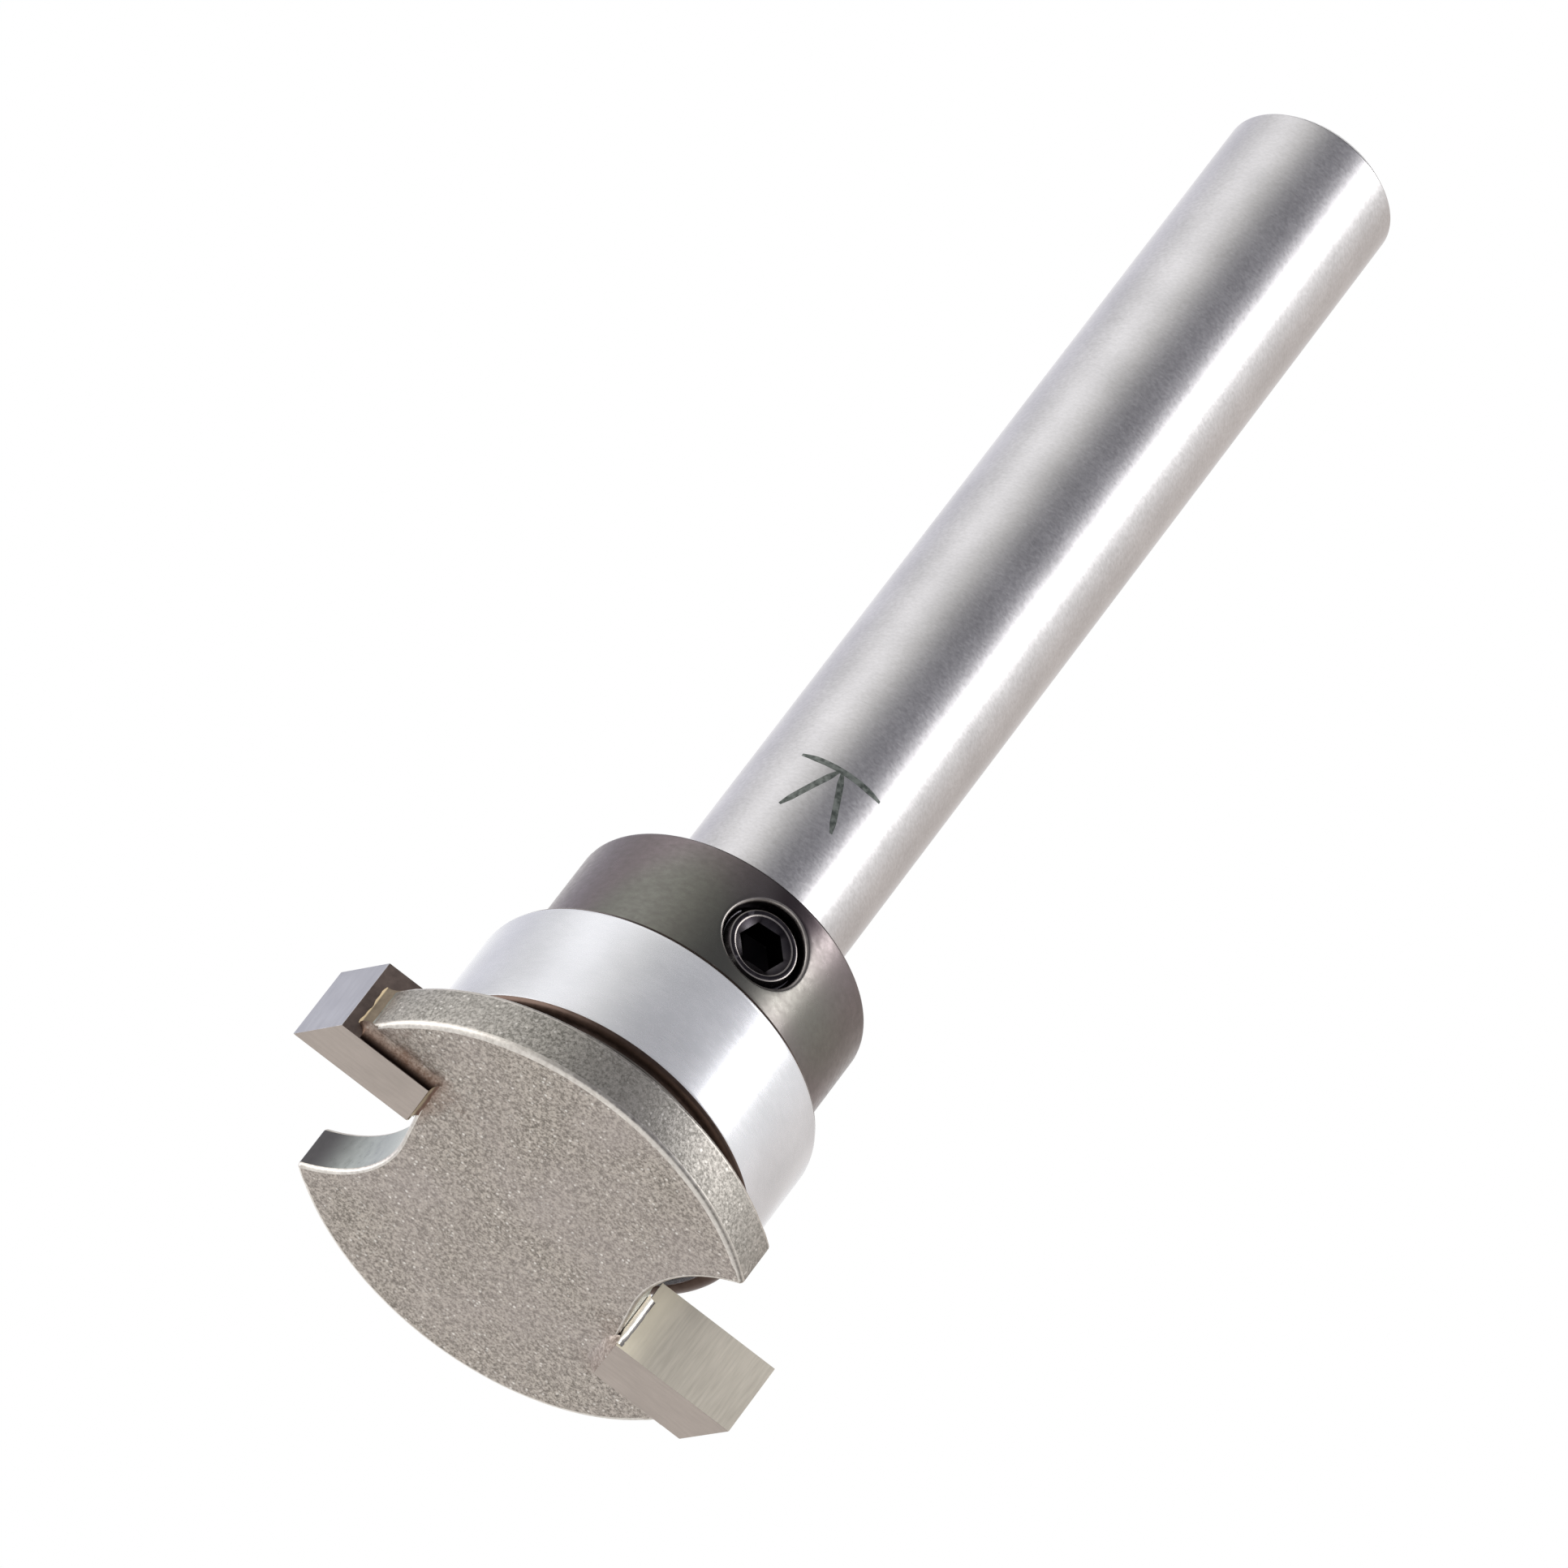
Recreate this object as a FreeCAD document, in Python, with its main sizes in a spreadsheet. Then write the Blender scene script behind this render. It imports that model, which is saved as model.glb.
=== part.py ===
import FreeCAD, Part
import Sketcher
import math
import os

# Bearing-guided undercut bit: a disc cutter with two brazed carbide tips on a
# quarter-inch shank, a ball bearing above the disc and a stop collar above that.
# Frame: +Z runs up the shank, z = 0 is the plane of the tips' undersides,
# and the +X tip shows its rake face towards -Y.

doc = FreeCAD.newDocument("UndercutBit")
vector = FreeCAD.Vector
turn = FreeCAD.Rotation
zAxis = vector(0, 0, 1)

# Sizes in mm.
drivingSizes = [
    # cutter
    ("cutRadius", 9.525, "cutting circle"),
    ("discRadius", 8.44, "disc between the tips"),
    ("discThick", 1.85, "disc thickness"),
    ("tipProud", 0.42, "tips stand below the disc face"),
    ("discBreak", 0.12, "broken edges of the disc"),
    ("lipRound", 0.16, "round of the gullet's outer lip"),
    ("gulletRadius", 4.95, "scoop in front of each tip"),
    ("gulletAcross", 9.51, "scoop centre along X"),
    ("gulletAhead", 0.71, "scoop centre ahead of the axis plane"),
    ("gulletRun", 5.7343, "scoop runs straight to the seat from here, degrees"),
    # carbide tips
    ("rakeOffset", 1.43, "rake face off the axis plane"),
    ("tipThick", 2.05, "tip from rake face to back"),
    ("tipInner", 4.84, "inner end of the tip from the axis plane"),
    ("tipHeight", 3.06, "height of the cutting edge"),
    ("endRelief", 28.0, "relief of the tip's outer end, degrees"),
    ("brazeGap", 0.09, "braze layer"),
    ("brazeFillet", 0.30, "braze fillet on the disc's upper face"),
    # shank
    ("shankRadius", 3.175, "quarter-inch shank"),
    ("shankTop", 54.45, "upper end of the shank"),
    ("shankChamfer", 0.34, "chamfer of the shank end"),
    ("hubRadius", 3.95, "shoulder under the bearing"),
    ("hubHeight", 1.83, "shoulder from the disc to the bearing"),
    ("reliefDepth", 0.17, "shank relieved under the collar, where the screw bites"),
    ("collarLand", 0.90, "full shank left below the relief, which centres the collar"),
    ("reliefShow", 0.05, "relief past the collar's upper face"),
    # ball bearing
    ("bearingRadius", 6.35, "outside of the bearing"),
    ("bearingWidth", 4.7625, "width of the bearing"),
    ("raceBreak", 0.20, "broken edges of the outer race"),
    ("ballRadius", 0.79375, "sixteenth-inch balls"),
    ("ballPitch", 4.7625, "radius of the ball circle"),
    ("ballCount", 7, "balls"),
    ("ballPlay", 0.05, "clearance round each ball"),
    ("landDepth", 0.27, "depth of the ball track in each race"),
    ("trackFlat", 0.28, "half width of the track's floor"),
    ("seatRadius", 5.82, "radius of the shield's seat in the outer race"),
    ("shieldDepth", 0.50, "depth of that seat from the race's face"),
    ("shieldThick", 0.18, "sheet of the shields"),
    ("shieldPlay", 0.13, "shield clear of the inner race"),
    ("cageWidth", 0.60, "width of the cage's band"),
    ("cageRoof", 0.30, "cage ring above the pockets"),
    ("prongDrop", 0.45, "cage prongs below the balls' middle"),
    ("slipPlay", 0.012, "clearance of the bearing's bore on the shank"),
    ("seatPlay", 0.010, "clearance of the shield in its seat"),
    # washer, stop collar and its screw
    ("collarRadius", 5.425, "outside of the collar"),
    ("collarTall", 4.30, "height of the collar"),
    ("washerThick", 0.39, "spacer washer between inner race and collar"),
    ("washerRadius", 3.98, "radius of that washer"),
    ("collarPlay", 0.02, "clearance of the collar's bore on the shank"),
    ("collarChamfer", 0.12, "edge breaks of the collar"),
    ("screwTurn", 9.3, "screw's azimuth past -Y, degrees"),
    ("screwRadius", 1.45, "grub screw"),
    ("screwPlay", 0.06, "screw clear of its hole"),
    ("screwSink", 0.26, "screw face below the collar's surface"),
    ("screwBevel", 0.25, "bevel of the screw's face"),
    ("screwPoint", 0.45, "taper of the screw's point"),
    ("cupRadius", 0.70, "rim of the cup point"),
    ("cupDepth", 0.30, "depth of the cup"),
    ("socketAcross", 1.50, "hexagon socket across flats"),
    ("socketDepth", 1.10, "depth of the socket"),
    ("mouthChamfer", 0.14, "chamfer of the screw hole's mouth"),
]

# Places that follow from the sizes above.
derivedPlaces = [
    ("discTop", "=Sizes.tipProud + Sizes.discThick"),
    ("discMiddle", "=Sizes.tipProud + Sizes.discThick / 2"),
    ("hubTop", "=discTop + Sizes.hubHeight"),
    ("raceTop", "=hubTop + Sizes.bearingWidth"),
    ("raceMiddle", "=hubTop + Sizes.bearingWidth / 2"),
    ("tipCorner", "=sqrt(Sizes.cutRadius ^ 2 - Sizes.rakeOffset ^ 2)"),
    ("tipBack", "=Sizes.rakeOffset + Sizes.tipThick"),
    ("tipHeel", "=tipCorner - Sizes.tipThick * tan(Sizes.endRelief * 1deg)"),
    ("seatInner", "=Sizes.tipInner - Sizes.brazeGap"),
    ("seatBack", "=tipBack + Sizes.brazeGap"),
    ("seatOuter", "=Sizes.cutRadius + Sizes.tipThick"),
    ("brazeEnd", "=sqrt(Sizes.discRadius ^ 2 - seatBack ^ 2) - Sizes.discBreak"),
    ("beadInner", "=seatInner - Sizes.brazeFillet"),
    ("beadBack", "=seatBack + Sizes.brazeFillet"),
    ("beadEnd", "=brazeEnd - Sizes.brazeFillet"),
    ("brazeSlope", "=Sizes.brazeFillet * 0.9"),
    ("scoopRise", "=Sizes.rakeOffset + Sizes.gulletAhead"),
    ("scoopHalf", "=sqrt(Sizes.gulletRadius ^ 2 - scoopRise ^ 2)"),
    ("scoopEnd", "=Sizes.gulletAcross + scoopHalf"),
    ("runFoot", "=Sizes.gulletAcross - Sizes.gulletRadius * cos(Sizes.gulletRun * 1deg)"),
    ("runLevel", "=Sizes.gulletRadius * sin(Sizes.gulletRun * 1deg) - Sizes.gulletAhead"),
    ("grooveRadius", "=Sizes.ballRadius + Sizes.ballPlay"),
    ("innerBore", "=Sizes.shankRadius + Sizes.slipPlay"),
    ("innerTrack", "=Sizes.ballPitch - grooveRadius"),
    ("outerTrack", "=Sizes.ballPitch + grooveRadius"),
    ("innerLand", "=innerTrack + Sizes.landDepth"),
    ("outerLand", "=outerTrack - Sizes.landDepth"),
    ("trackHalf", "=sqrt(grooveRadius ^ 2 - (grooveRadius - Sizes.landDepth) ^ 2)"),
    ("trackLow", "=raceMiddle - trackHalf"),
    ("trackHigh", "=raceMiddle + trackHalf"),
    ("floorLow", "=raceMiddle - Sizes.trackFlat"),
    ("floorHigh", "=raceMiddle + Sizes.trackFlat"),
    ("lowerStep", "=hubTop + Sizes.shieldDepth"),
    ("upperStep", "=raceTop - Sizes.shieldDepth"),
    ("shieldOuter", "=Sizes.seatRadius - Sizes.seatPlay"),
    ("shieldInner", "=innerLand + Sizes.shieldPlay"),
    ("lowerSheet", "=lowerStep - Sizes.shieldThick"),
    ("upperSheet", "=upperStep + Sizes.shieldThick"),
    ("cageInner", "=Sizes.ballPitch - Sizes.cageWidth / 2"),
    ("cageOuter", "=Sizes.ballPitch + Sizes.cageWidth / 2"),
    ("pocketRoof", "=raceMiddle + grooveRadius"),
    ("pocketFoot", "=raceMiddle - grooveRadius"),
    ("cageTop", "=pocketRoof + Sizes.cageRoof"),
    ("cageFoot", "=raceMiddle - Sizes.prongDrop"),
    ("collarFace", "=raceTop + Sizes.washerThick"),
    ("collarTop", "=collarFace + Sizes.collarTall"),
    ("collarBore", "=Sizes.shankRadius + Sizes.collarPlay"),
    ("reliefRadius", "=Sizes.shankRadius - Sizes.reliefDepth"),
    ("reliefFoot", "=collarFace + Sizes.collarLand"),
    ("reliefTop", "=collarTop + Sizes.reliefShow"),
    ("screwHeight", "=(collarFace + collarTop) / 2"),
    ("holeRadius", "=Sizes.screwRadius + Sizes.screwPlay"),
    ("screwLength", "=Sizes.collarRadius - Sizes.screwSink - reliefRadius"),
    ("screwShoulder", "=screwLength - Sizes.screwBevel"),
    ("screwFace", "=Sizes.screwRadius - Sizes.screwBevel"),
    ("socketFlat", "=Sizes.socketAcross / 2"),
    ("socketCorner", "=Sizes.socketAcross / sqrt(3)"),
    ("socketHalf", "=socketCorner / 2"),
]

sizes = doc.addObject("Spreadsheet::Sheet", "Sizes")
for row, (alias, number, note) in enumerate(drivingSizes, start=1):
    sizes.set("A%d" % row, note)
    sizes.set("B%d" % row, str(number))
    sizes.setAlias("B%d" % row, alias)
doc.recompute()

places = doc.addObject("Spreadsheet::Sheet", "Places")
for row, (alias, formula) in enumerate(derivedPlaces, start=1):
    places.set("B%d" % row, formula)
    places.setAlias("B%d" % row, alias)
    doc.recompute()

sizeNames = {entry[0] for entry in drivingSizes}
ballCount = int(sizes.get("ballCount"))


def number(name):
    """Value of a named size or place, with its sign."""
    if name == "0":
        return 0.0
    if name.startswith("-"):
        return -number(name[1:])
    sheet = sizes if name in sizeNames else places
    return float(sheet.get(name))


def linked(name):
    """Expression that follows the named size or place."""
    if name.startswith("-"):
        return "-" + linked(name[1:])
    return ("Sizes." if name in sizeNames else "Places.") + name


# Sketch tools.
def newBody(label):
    body = doc.addObject("PartDesign::Body", label)
    body.Label = label
    return body


def originPart(body, role):
    return [part for part in body.Origin.OriginFeatures if part.Role == role][0]


def newSketch(body, name, plane, height=None):
    """Sketch on one of the body's own planes, raised by a named height."""
    sketch = body.newObject("Sketcher::SketchObject", name)
    sketch.AttachmentSupport = (originPart(body, plane), [""])
    sketch.MapMode = "FlatFace"
    if height:
        sketch.setExpression("AttachmentOffset.Base.z", linked(height))
    return sketch


def placePoint(sketch, line, end, across, up):
    """Tie one end of a line to its named coordinates; None leaves one free."""
    if across == "0":
        sketch.addConstraint(Sketcher.Constraint("PointOnObject", line, end, -2))
    elif across:
        index = sketch.addConstraint(
            Sketcher.Constraint("DistanceX", -1, 1, line, end, number(across)))
        sketch.setExpression("Constraints[%d]" % index, linked(across))
    if up == "0":
        sketch.addConstraint(Sketcher.Constraint("PointOnObject", line, end, -1))
    elif up:
        index = sketch.addConstraint(
            Sketcher.Constraint("DistanceY", -1, 1, line, end, number(up)))
        sketch.setExpression("Constraints[%d]" % index, linked(up))


def addOutline(sketch, corners):
    """Closed outline of straight lines through named corners."""
    count = len(corners)
    points = [vector(number(x), number(y), 0) for x, y in corners]
    first = sketch.GeometryCount
    for i in range(count):
        sketch.addGeometry(Part.LineSegment(points[i], points[(i + 1) % count]), False)
    for i in range(count):
        sketch.addConstraint(
            Sketcher.Constraint("Coincident", first + i, 2, first + (i + 1) % count, 1))
    for i in range(count):
        x, y = corners[i]
        if i > 0 and x == corners[i - 1][0]:
            sketch.addConstraint(Sketcher.Constraint("Vertical", first + i - 1))
            x = None
        if i > 0 and y == corners[i - 1][1]:
            sketch.addConstraint(Sketcher.Constraint("Horizontal", first + i - 1))
            y = None
        placePoint(sketch, first + i, 1, x, y)


def addCircle(sketch, across, up, radius):
    """Circle about a named centre with a named radius."""
    centre = vector(number(across), number(up), 0)
    line = sketch.addGeometry(Part.Circle(centre, zAxis, number(radius)), False)
    placePoint(sketch, line, 3, across, up)
    index = sketch.addConstraint(Sketcher.Constraint("Radius", line, number(radius)))
    sketch.setExpression("Constraints[%d]" % index, linked(radius))


def addRadius(sketch, line, radius):
    index = sketch.addConstraint(Sketcher.Constraint("Radius", line, number(radius)))
    sketch.setExpression("Constraints[%d]" % index, linked(radius))


def revolved(body, name, corners):
    """Solid turned about Z from an outline in the XZ plane."""
    sketch = newSketch(body, name + "Profile", "XZ_Plane")
    addOutline(sketch, corners)
    solid = body.newObject("PartDesign::Revolution", name)
    solid.Profile = sketch
    solid.ReferenceAxis = (originPart(body, "Z_Axis"), [""])
    solid.Angle = 360
    doc.recompute()
    return solid


def padded(body, name, sketch, length):
    pad = body.newObject("PartDesign::Pad", name)
    pad.Profile = sketch
    pad.setExpression("Length", linked(length))
    doc.recompute()
    return pad


def patterned(body, name, feature, count):
    """Copies of a feature evenly round Z."""
    pattern = body.newObject("PartDesign::PolarPattern", name)
    pattern.Originals = [feature]
    pattern.Axis = (originPart(body, "Z_Axis"), [""])
    pattern.Angle = 360
    if count == "ballCount":
        pattern.setExpression("Occurrences", linked(count))
    else:
        pattern.Occurrences = count
    body.Tip = pattern
    doc.recompute()
    return pattern


def edgesWhere(shape, test):
    return ["Edge%d" % (i + 1) for i, edge in enumerate(shape.Edges) if test(edge)]


def dressed(body, kind, name, base, edges, size):
    """Fillet or chamfer of the picked edges."""
    feature = body.newObject("PartDesign::" + kind, name)
    feature.Base = (base, edges)
    feature.setExpression("Radius" if kind == "Fillet" else "Size", linked(size))
    doc.recompute()
    return feature


def mustShrink(before, after, name):
    """A cut that removed nothing points the wrong way."""
    if not after.Shape.Volume < before.Shape.Volume:
        raise RuntimeError(name + " removed nothing")


def rimEdge(radius, height):
    """Test for a full circle about Z with this radius and height."""
    def test(edge):
        if not isinstance(edge.Curve, Part.Circle):
            return False
        centre = edge.Curve.Center
        onAxis = math.hypot(centre.x, centre.y) < 1e-4
        return onAxis and abs(edge.Curve.Radius - radius) < 1e-4 and abs(centre.z - height) < 1e-4
    return test


# Cutter: disc + shank.
cutter = newBody("cutter_body")
discSketch = newSketch(cutter, "DiscOutline", "XY_Plane", "tipProud")
addCircle(discSketch, "0", "0", "discRadius")
disc = padded(cutter, "Disc", discSketch, "discThick")

# Scoop ahead of the rake face: its arc runs out straight into the corner of the tip's seat,
# and the line of the face itself closes it.
scoopSketch = newSketch(cutter, "ScoopOutline", "XY_Plane", "tipProud")
scoopCentre = vector(number("gulletAcross"), -number("gulletAhead"), 0)
scoopAngle = math.atan2(number("scoopRise"), number("scoopHalf"))
runFoot = vector(number("runFoot"), number("runLevel"), 0)
runAngle = math.atan2(runFoot.y - scoopCentre.y, scoopCentre.x - runFoot.x)
scoopArc = Part.ArcOfCircle(Part.Circle(scoopCentre, zAxis, number("gulletRadius")),
                            math.pi - runAngle, 2 * math.pi + scoopAngle)
seatCorner = vector(number("seatInner"), number("rakeOffset"), 0)
scoopSketch.addGeometry(scoopArc, False)
scoopSketch.addGeometry(
    Part.LineSegment(vector(number("scoopEnd"), number("rakeOffset"), 0), seatCorner), False)
scoopSketch.addGeometry(Part.LineSegment(seatCorner, runFoot), False)
scoopSketch.addConstraint(Sketcher.Constraint("Coincident", 0, 2, 1, 1))
scoopSketch.addConstraint(Sketcher.Constraint("Coincident", 1, 2, 2, 1))
scoopSketch.addConstraint(Sketcher.Constraint("Coincident", 2, 2, 0, 1))
scoopSketch.addConstraint(Sketcher.Constraint("Horizontal", 1))
placePoint(scoopSketch, 0, 3, "gulletAcross", "-gulletAhead")
placePoint(scoopSketch, 1, 2, "seatInner", "rakeOffset")
placePoint(scoopSketch, 2, 2, None, "runLevel")
addRadius(scoopSketch, 0, "gulletRadius")
scoop = cutter.newObject("PartDesign::Pocket", "Scoop")
scoop.Profile = scoopSketch
scoop.Reversed = True
scoop.setExpression("Length", linked("discThick"))
doc.recompute()
mustShrink(disc, scoop, "scoop")
scoops = patterned(cutter, "Scoops", scoop, 2)

# Seat of the tip, open to the rim.
seatSketch = newSketch(cutter, "SeatOutline", "XY_Plane", "tipProud")
addOutline(seatSketch, [("seatInner", "rakeOffset"), ("seatOuter", "rakeOffset"),
                        ("seatOuter", "seatBack"), ("seatInner", "seatBack")])
seat = cutter.newObject("PartDesign::Pocket", "Seat")
seat.Profile = seatSketch
seat.Reversed = True
seat.setExpression("Length", linked("discThick"))
doc.recompute()
mustShrink(scoops, seat, "seat")
seats = patterned(cutter, "Seats", seat, 2)


def isLip(edge):
    """Upright edge where a scoop runs out through the rim."""
    ends = [vertex.Point for vertex in edge.Vertexes]
    if len(ends) != 2 or abs(ends[0].z - ends[1].z) < number("discThick") / 2:
        return False
    offCentre = min(abs(math.hypot(ends[0].x - side * number("gulletAcross"),
                                   ends[0].y + side * number("gulletAhead"))
                        - number("gulletRadius")) for side in (1, -1))
    onRim = abs(math.hypot(ends[0].x, ends[0].y) - number("discRadius")) < 1e-3
    return onRim and offCentre < 1e-3


lips = dressed(cutter, "Fillet", "Lips", seats, edgesWhere(seats.Shape, isLip), "lipRound")

shaftSketch = newSketch(cutter, "ShaftProfile", "XZ_Plane")
addOutline(shaftSketch, [("0", "discMiddle"), ("hubRadius", "discMiddle"), ("hubRadius", "hubTop"),
                         ("shankRadius", "hubTop"), ("shankRadius", "reliefFoot"),
                         ("reliefRadius", "reliefFoot"), ("reliefRadius", "reliefTop"),
                         ("shankRadius", "reliefTop"), ("shankRadius", "shankTop"),
                         ("0", "shankTop")])
shaft = cutter.newObject("PartDesign::Revolution", "Shaft")
shaft.Profile = shaftSketch
shaft.ReferenceAxis = (originPart(cutter, "Z_Axis"), [""])
shaft.Angle = 360
doc.recompute()
shankEnd = dressed(cutter, "Chamfer", "ShankEnd", shaft,
                   edgesWhere(shaft.Shape, rimEdge(number("shankRadius"), number("shankTop"))),
                   "shankChamfer")


def isDiscEdge(edge):
    """Edges of the disc's two faces on the rim, the lips and the scoops."""
    if not isinstance(edge.Curve, Part.Circle):
        return False
    centre = edge.Curve.Center
    onFace = min(abs(centre.z - number("tipProud")), abs(centre.z - number("discTop"))) < 1e-4
    upright = abs(abs(edge.Curve.Axis.z) - 1) < 1e-6
    return onFace and upright and abs(edge.Curve.Radius - number("hubRadius")) > 1e-4


discEdges = dressed(cutter, "Chamfer", "DiscEdges", shankEnd,
                    edgesWhere(shankEnd.Shape, isDiscEdge), "discBreak")


# Carbide tips and braze.
def makeTip(label, angle):
    """Tip with a square inner end, its outer end relieved behind the edge."""
    body = newBody(label)
    sketch = newSketch(body, label + "Outline", "XY_Plane")
    addOutline(sketch, [("tipInner", "rakeOffset"), ("tipCorner", "rakeOffset"),
                        ("tipHeel", "tipBack"), ("tipInner", "tipBack")])
    padded(body, label + "Pad", sketch, "tipHeight")
    body.Placement = FreeCAD.Placement(vector(0, 0, 0), turn(zAxis, angle))
    return body


def makeBraze(label, angle):
    """Layer round the inner end and back of the tip, with a fillet on top."""
    body = newBody(label)
    sketch = newSketch(body, label + "Outline", "XY_Plane", "tipProud")
    addOutline(sketch, [("seatInner", "rakeOffset"), ("tipInner", "rakeOffset"),
                        ("tipInner", "tipBack"), ("brazeEnd", "tipBack"),
                        ("brazeEnd", "seatBack"), ("seatInner", "seatBack")])
    padded(body, label + "Layer", sketch, "discThick")
    beadSketch = newSketch(body, label + "Bead", "XY_Plane", "discTop")
    addOutline(beadSketch, [("beadInner", "rakeOffset"), ("tipInner", "rakeOffset"),
                            ("tipInner", "tipBack"), ("beadEnd", "tipBack"),
                            ("beadEnd", "beadBack"), ("beadInner", "beadBack")])
    bead = padded(body, label + "BeadPad", beadSketch, "brazeFillet")
    top = number("discTop") + number("brazeFillet")

    def isSlope(edge):
        box = edge.BoundBox
        if abs(box.ZMin - top) > 1e-4 or abs(box.ZMax - top) > 1e-4:
            return False
        inner = abs(box.XMax - number("beadInner")) < 1e-4
        back = abs(box.YMin - number("beadBack")) < 1e-4
        return inner or back

    dressed(body, "Chamfer", label + "Slope", bead, edgesWhere(bead.Shape, isSlope), "brazeSlope")
    body.Placement = FreeCAD.Placement(vector(0, 0, 0), turn(zAxis, angle))
    return body


for index, angle in ((1, 0), (2, 180)):
    makeTip("carbide_tip_%d" % index, angle)
    makeBraze("braze_joint_%d" % index, angle)


# Ball bearing.
# The track of each race closes round the balls on three flats.
innerRace = newBody("bearing_inner_race")
revolved(innerRace, "InnerRaceRing",
         [("innerBore", "hubTop"), ("innerLand", "hubTop"), ("innerLand", "trackLow"),
          ("innerTrack", "floorLow"), ("innerTrack", "floorHigh"), ("innerLand", "trackHigh"),
          ("innerLand", "raceTop"), ("innerBore", "raceTop")])

outerRace = newBody("bearing_outer_race")
outerRing = revolved(outerRace, "OuterRaceRing",
                     [("bearingRadius", "hubTop"), ("bearingRadius", "raceTop"),
                      ("seatRadius", "raceTop"), ("seatRadius", "upperStep"),
                      ("outerLand", "upperStep"), ("outerLand", "trackHigh"),
                      ("outerTrack", "floorHigh"), ("outerTrack", "floorLow"),
                      ("outerLand", "trackLow"), ("outerLand", "lowerStep"),
                      ("seatRadius", "lowerStep"), ("seatRadius", "hubTop")])
outerRims = [rimEdge(number("bearingRadius"), number("hubTop")),
             rimEdge(number("bearingRadius"), number("raceTop"))]
dressed(outerRace, "Chamfer", "OuterRaceEdges", outerRing,
        edgesWhere(outerRing.Shape, lambda edge: any(test(edge) for test in outerRims)),
        "raceBreak")


def makeShield(label, step, sheet):
    """Flat cover that sits on the race's step, clear of the inner race."""
    body = newBody(label)
    revolved(body, label + "Sheet", [("shieldInner", step), ("shieldOuter", step),
                                     ("shieldOuter", sheet), ("shieldInner", sheet)])
    return body


makeShield("bearing_shield_lower", "lowerStep", "lowerSheet")
makeShield("bearing_shield_upper", "upperStep", "upperSheet")

for k in range(ballCount):
    ball = doc.addObject("Part::Sphere", "ball_%d" % (k + 1))
    ball.Label = "ball_%d" % (k + 1)
    ball.setExpression("Radius", "Sizes.ballRadius")
    spread = "360deg * %d / Sizes.ballCount" % k
    ball.setExpression("Placement.Base.x", "Sizes.ballPitch * cos(%s)" % spread)
    ball.setExpression("Placement.Base.y", "Sizes.ballPitch * sin(%s)" % spread)
    ball.setExpression("Placement.Base.z", "Places.raceMiddle")
doc.recompute()


# Crown cage: a ring above the balls whose prongs reach down between them.
cage = newBody("ball_cage")
crown = revolved(cage, "CageRing", [("cageInner", "cageFoot"), ("cageOuter", "cageFoot"),
                                    ("cageOuter", "cageTop"), ("cageInner", "cageTop")])
pocketSketch = newSketch(cage, "PocketOutline", "YZ_Plane")
addOutline(pocketSketch, [("-grooveRadius", "pocketFoot"), ("grooveRadius", "pocketFoot"),
                          ("grooveRadius", "pocketRoof"), ("-grooveRadius", "pocketRoof")])
pocket = cage.newObject("PartDesign::Pocket", "BallPocket")
pocket.Profile = pocketSketch
pocket.Reversed = True
pocket.setExpression("Length", "Places.cageOuter + Sizes.ballRadius")
doc.recompute()
mustShrink(crown, pocket, "cage pocket")
patterned(cage, "BallPockets", pocket, "ballCount")

# Spacer washer, stop collar and grub screw.
washer = newBody("spacer_washer")
revolved(washer, "WasherRing", [("collarBore", "raceTop"), ("washerRadius", "raceTop"),
                                ("washerRadius", "collarFace"), ("collarBore", "collarFace")])

collar = newBody("stop_collar")
collarRing = revolved(collar, "CollarRing", [("collarBore", "collarFace"),
                                             ("collarRadius", "collarFace"),
                                             ("collarRadius", "collarTop"),
                                             ("collarBore", "collarTop")])
collarRims = [rimEdge(number("collarRadius"), number("collarFace")),
              rimEdge(number("collarRadius"), number("collarTop"))]
collarEdges = dressed(
    collar, "Chamfer", "CollarEdges", collarRing,
    edgesWhere(collarRing.Shape, lambda edge: any(test(edge) for test in collarRims)),
    "collarChamfer")
holeSketch = newSketch(collar, "ScrewHoleOutline", "XZ_Plane")
addCircle(holeSketch, "0", "screwHeight", "holeRadius")
hole = collar.newObject("PartDesign::Pocket", "ScrewHole")
hole.Profile = holeSketch
hole.Reversed = True
hole.setExpression("Length", "Sizes.collarRadius + Sizes.mouthChamfer")
doc.recompute()
mustShrink(collarEdges, hole, "screw hole")


def isMouth(edge):
    """Outer end of the screw hole: a closed curve no wider than the hole."""
    box = edge.BoundBox
    across = 2.1 * number("holeRadius")
    middle = (number("collarRadius") + number("collarBore")) / 2
    return max(box.XLength, box.ZLength) < across and box.YMax < -middle and edge.isClosed()


dressed(collar, "Chamfer", "ScrewHoleMouth", hole, edgesWhere(hole.Shape, isMouth), "mouthChamfer")
collarTurn = turn(zAxis, number("screwTurn"))
collar.Placement = FreeCAD.Placement(vector(0, 0, 0), collarTurn)

# Grub screw, modelled point down on its own axis and then laid radially.
screw = newBody("set_screw")
screwBody = revolved(screw, "ScrewTurned", [("0", "cupDepth"), ("cupRadius", "0"),
                                            ("screwRadius", "screwPoint"),
                                            ("screwRadius", "screwShoulder"),
                                            ("screwFace", "screwLength"), ("0", "screwLength")])
socketSketch = newSketch(screw, "SocketOutline", "XY_Plane", "screwLength")
addOutline(socketSketch, [("socketCorner", "0"), ("socketHalf", "socketFlat"),
                          ("-socketHalf", "socketFlat"), ("-socketCorner", "0"),
                          ("-socketHalf", "-socketFlat"), ("socketHalf", "-socketFlat")])
socket = screw.newObject("PartDesign::Pocket", "Socket")
socket.Profile = socketSketch
socket.setExpression("Length", linked("socketDepth"))
doc.recompute()
mustShrink(screwBody, socket, "socket")
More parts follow.
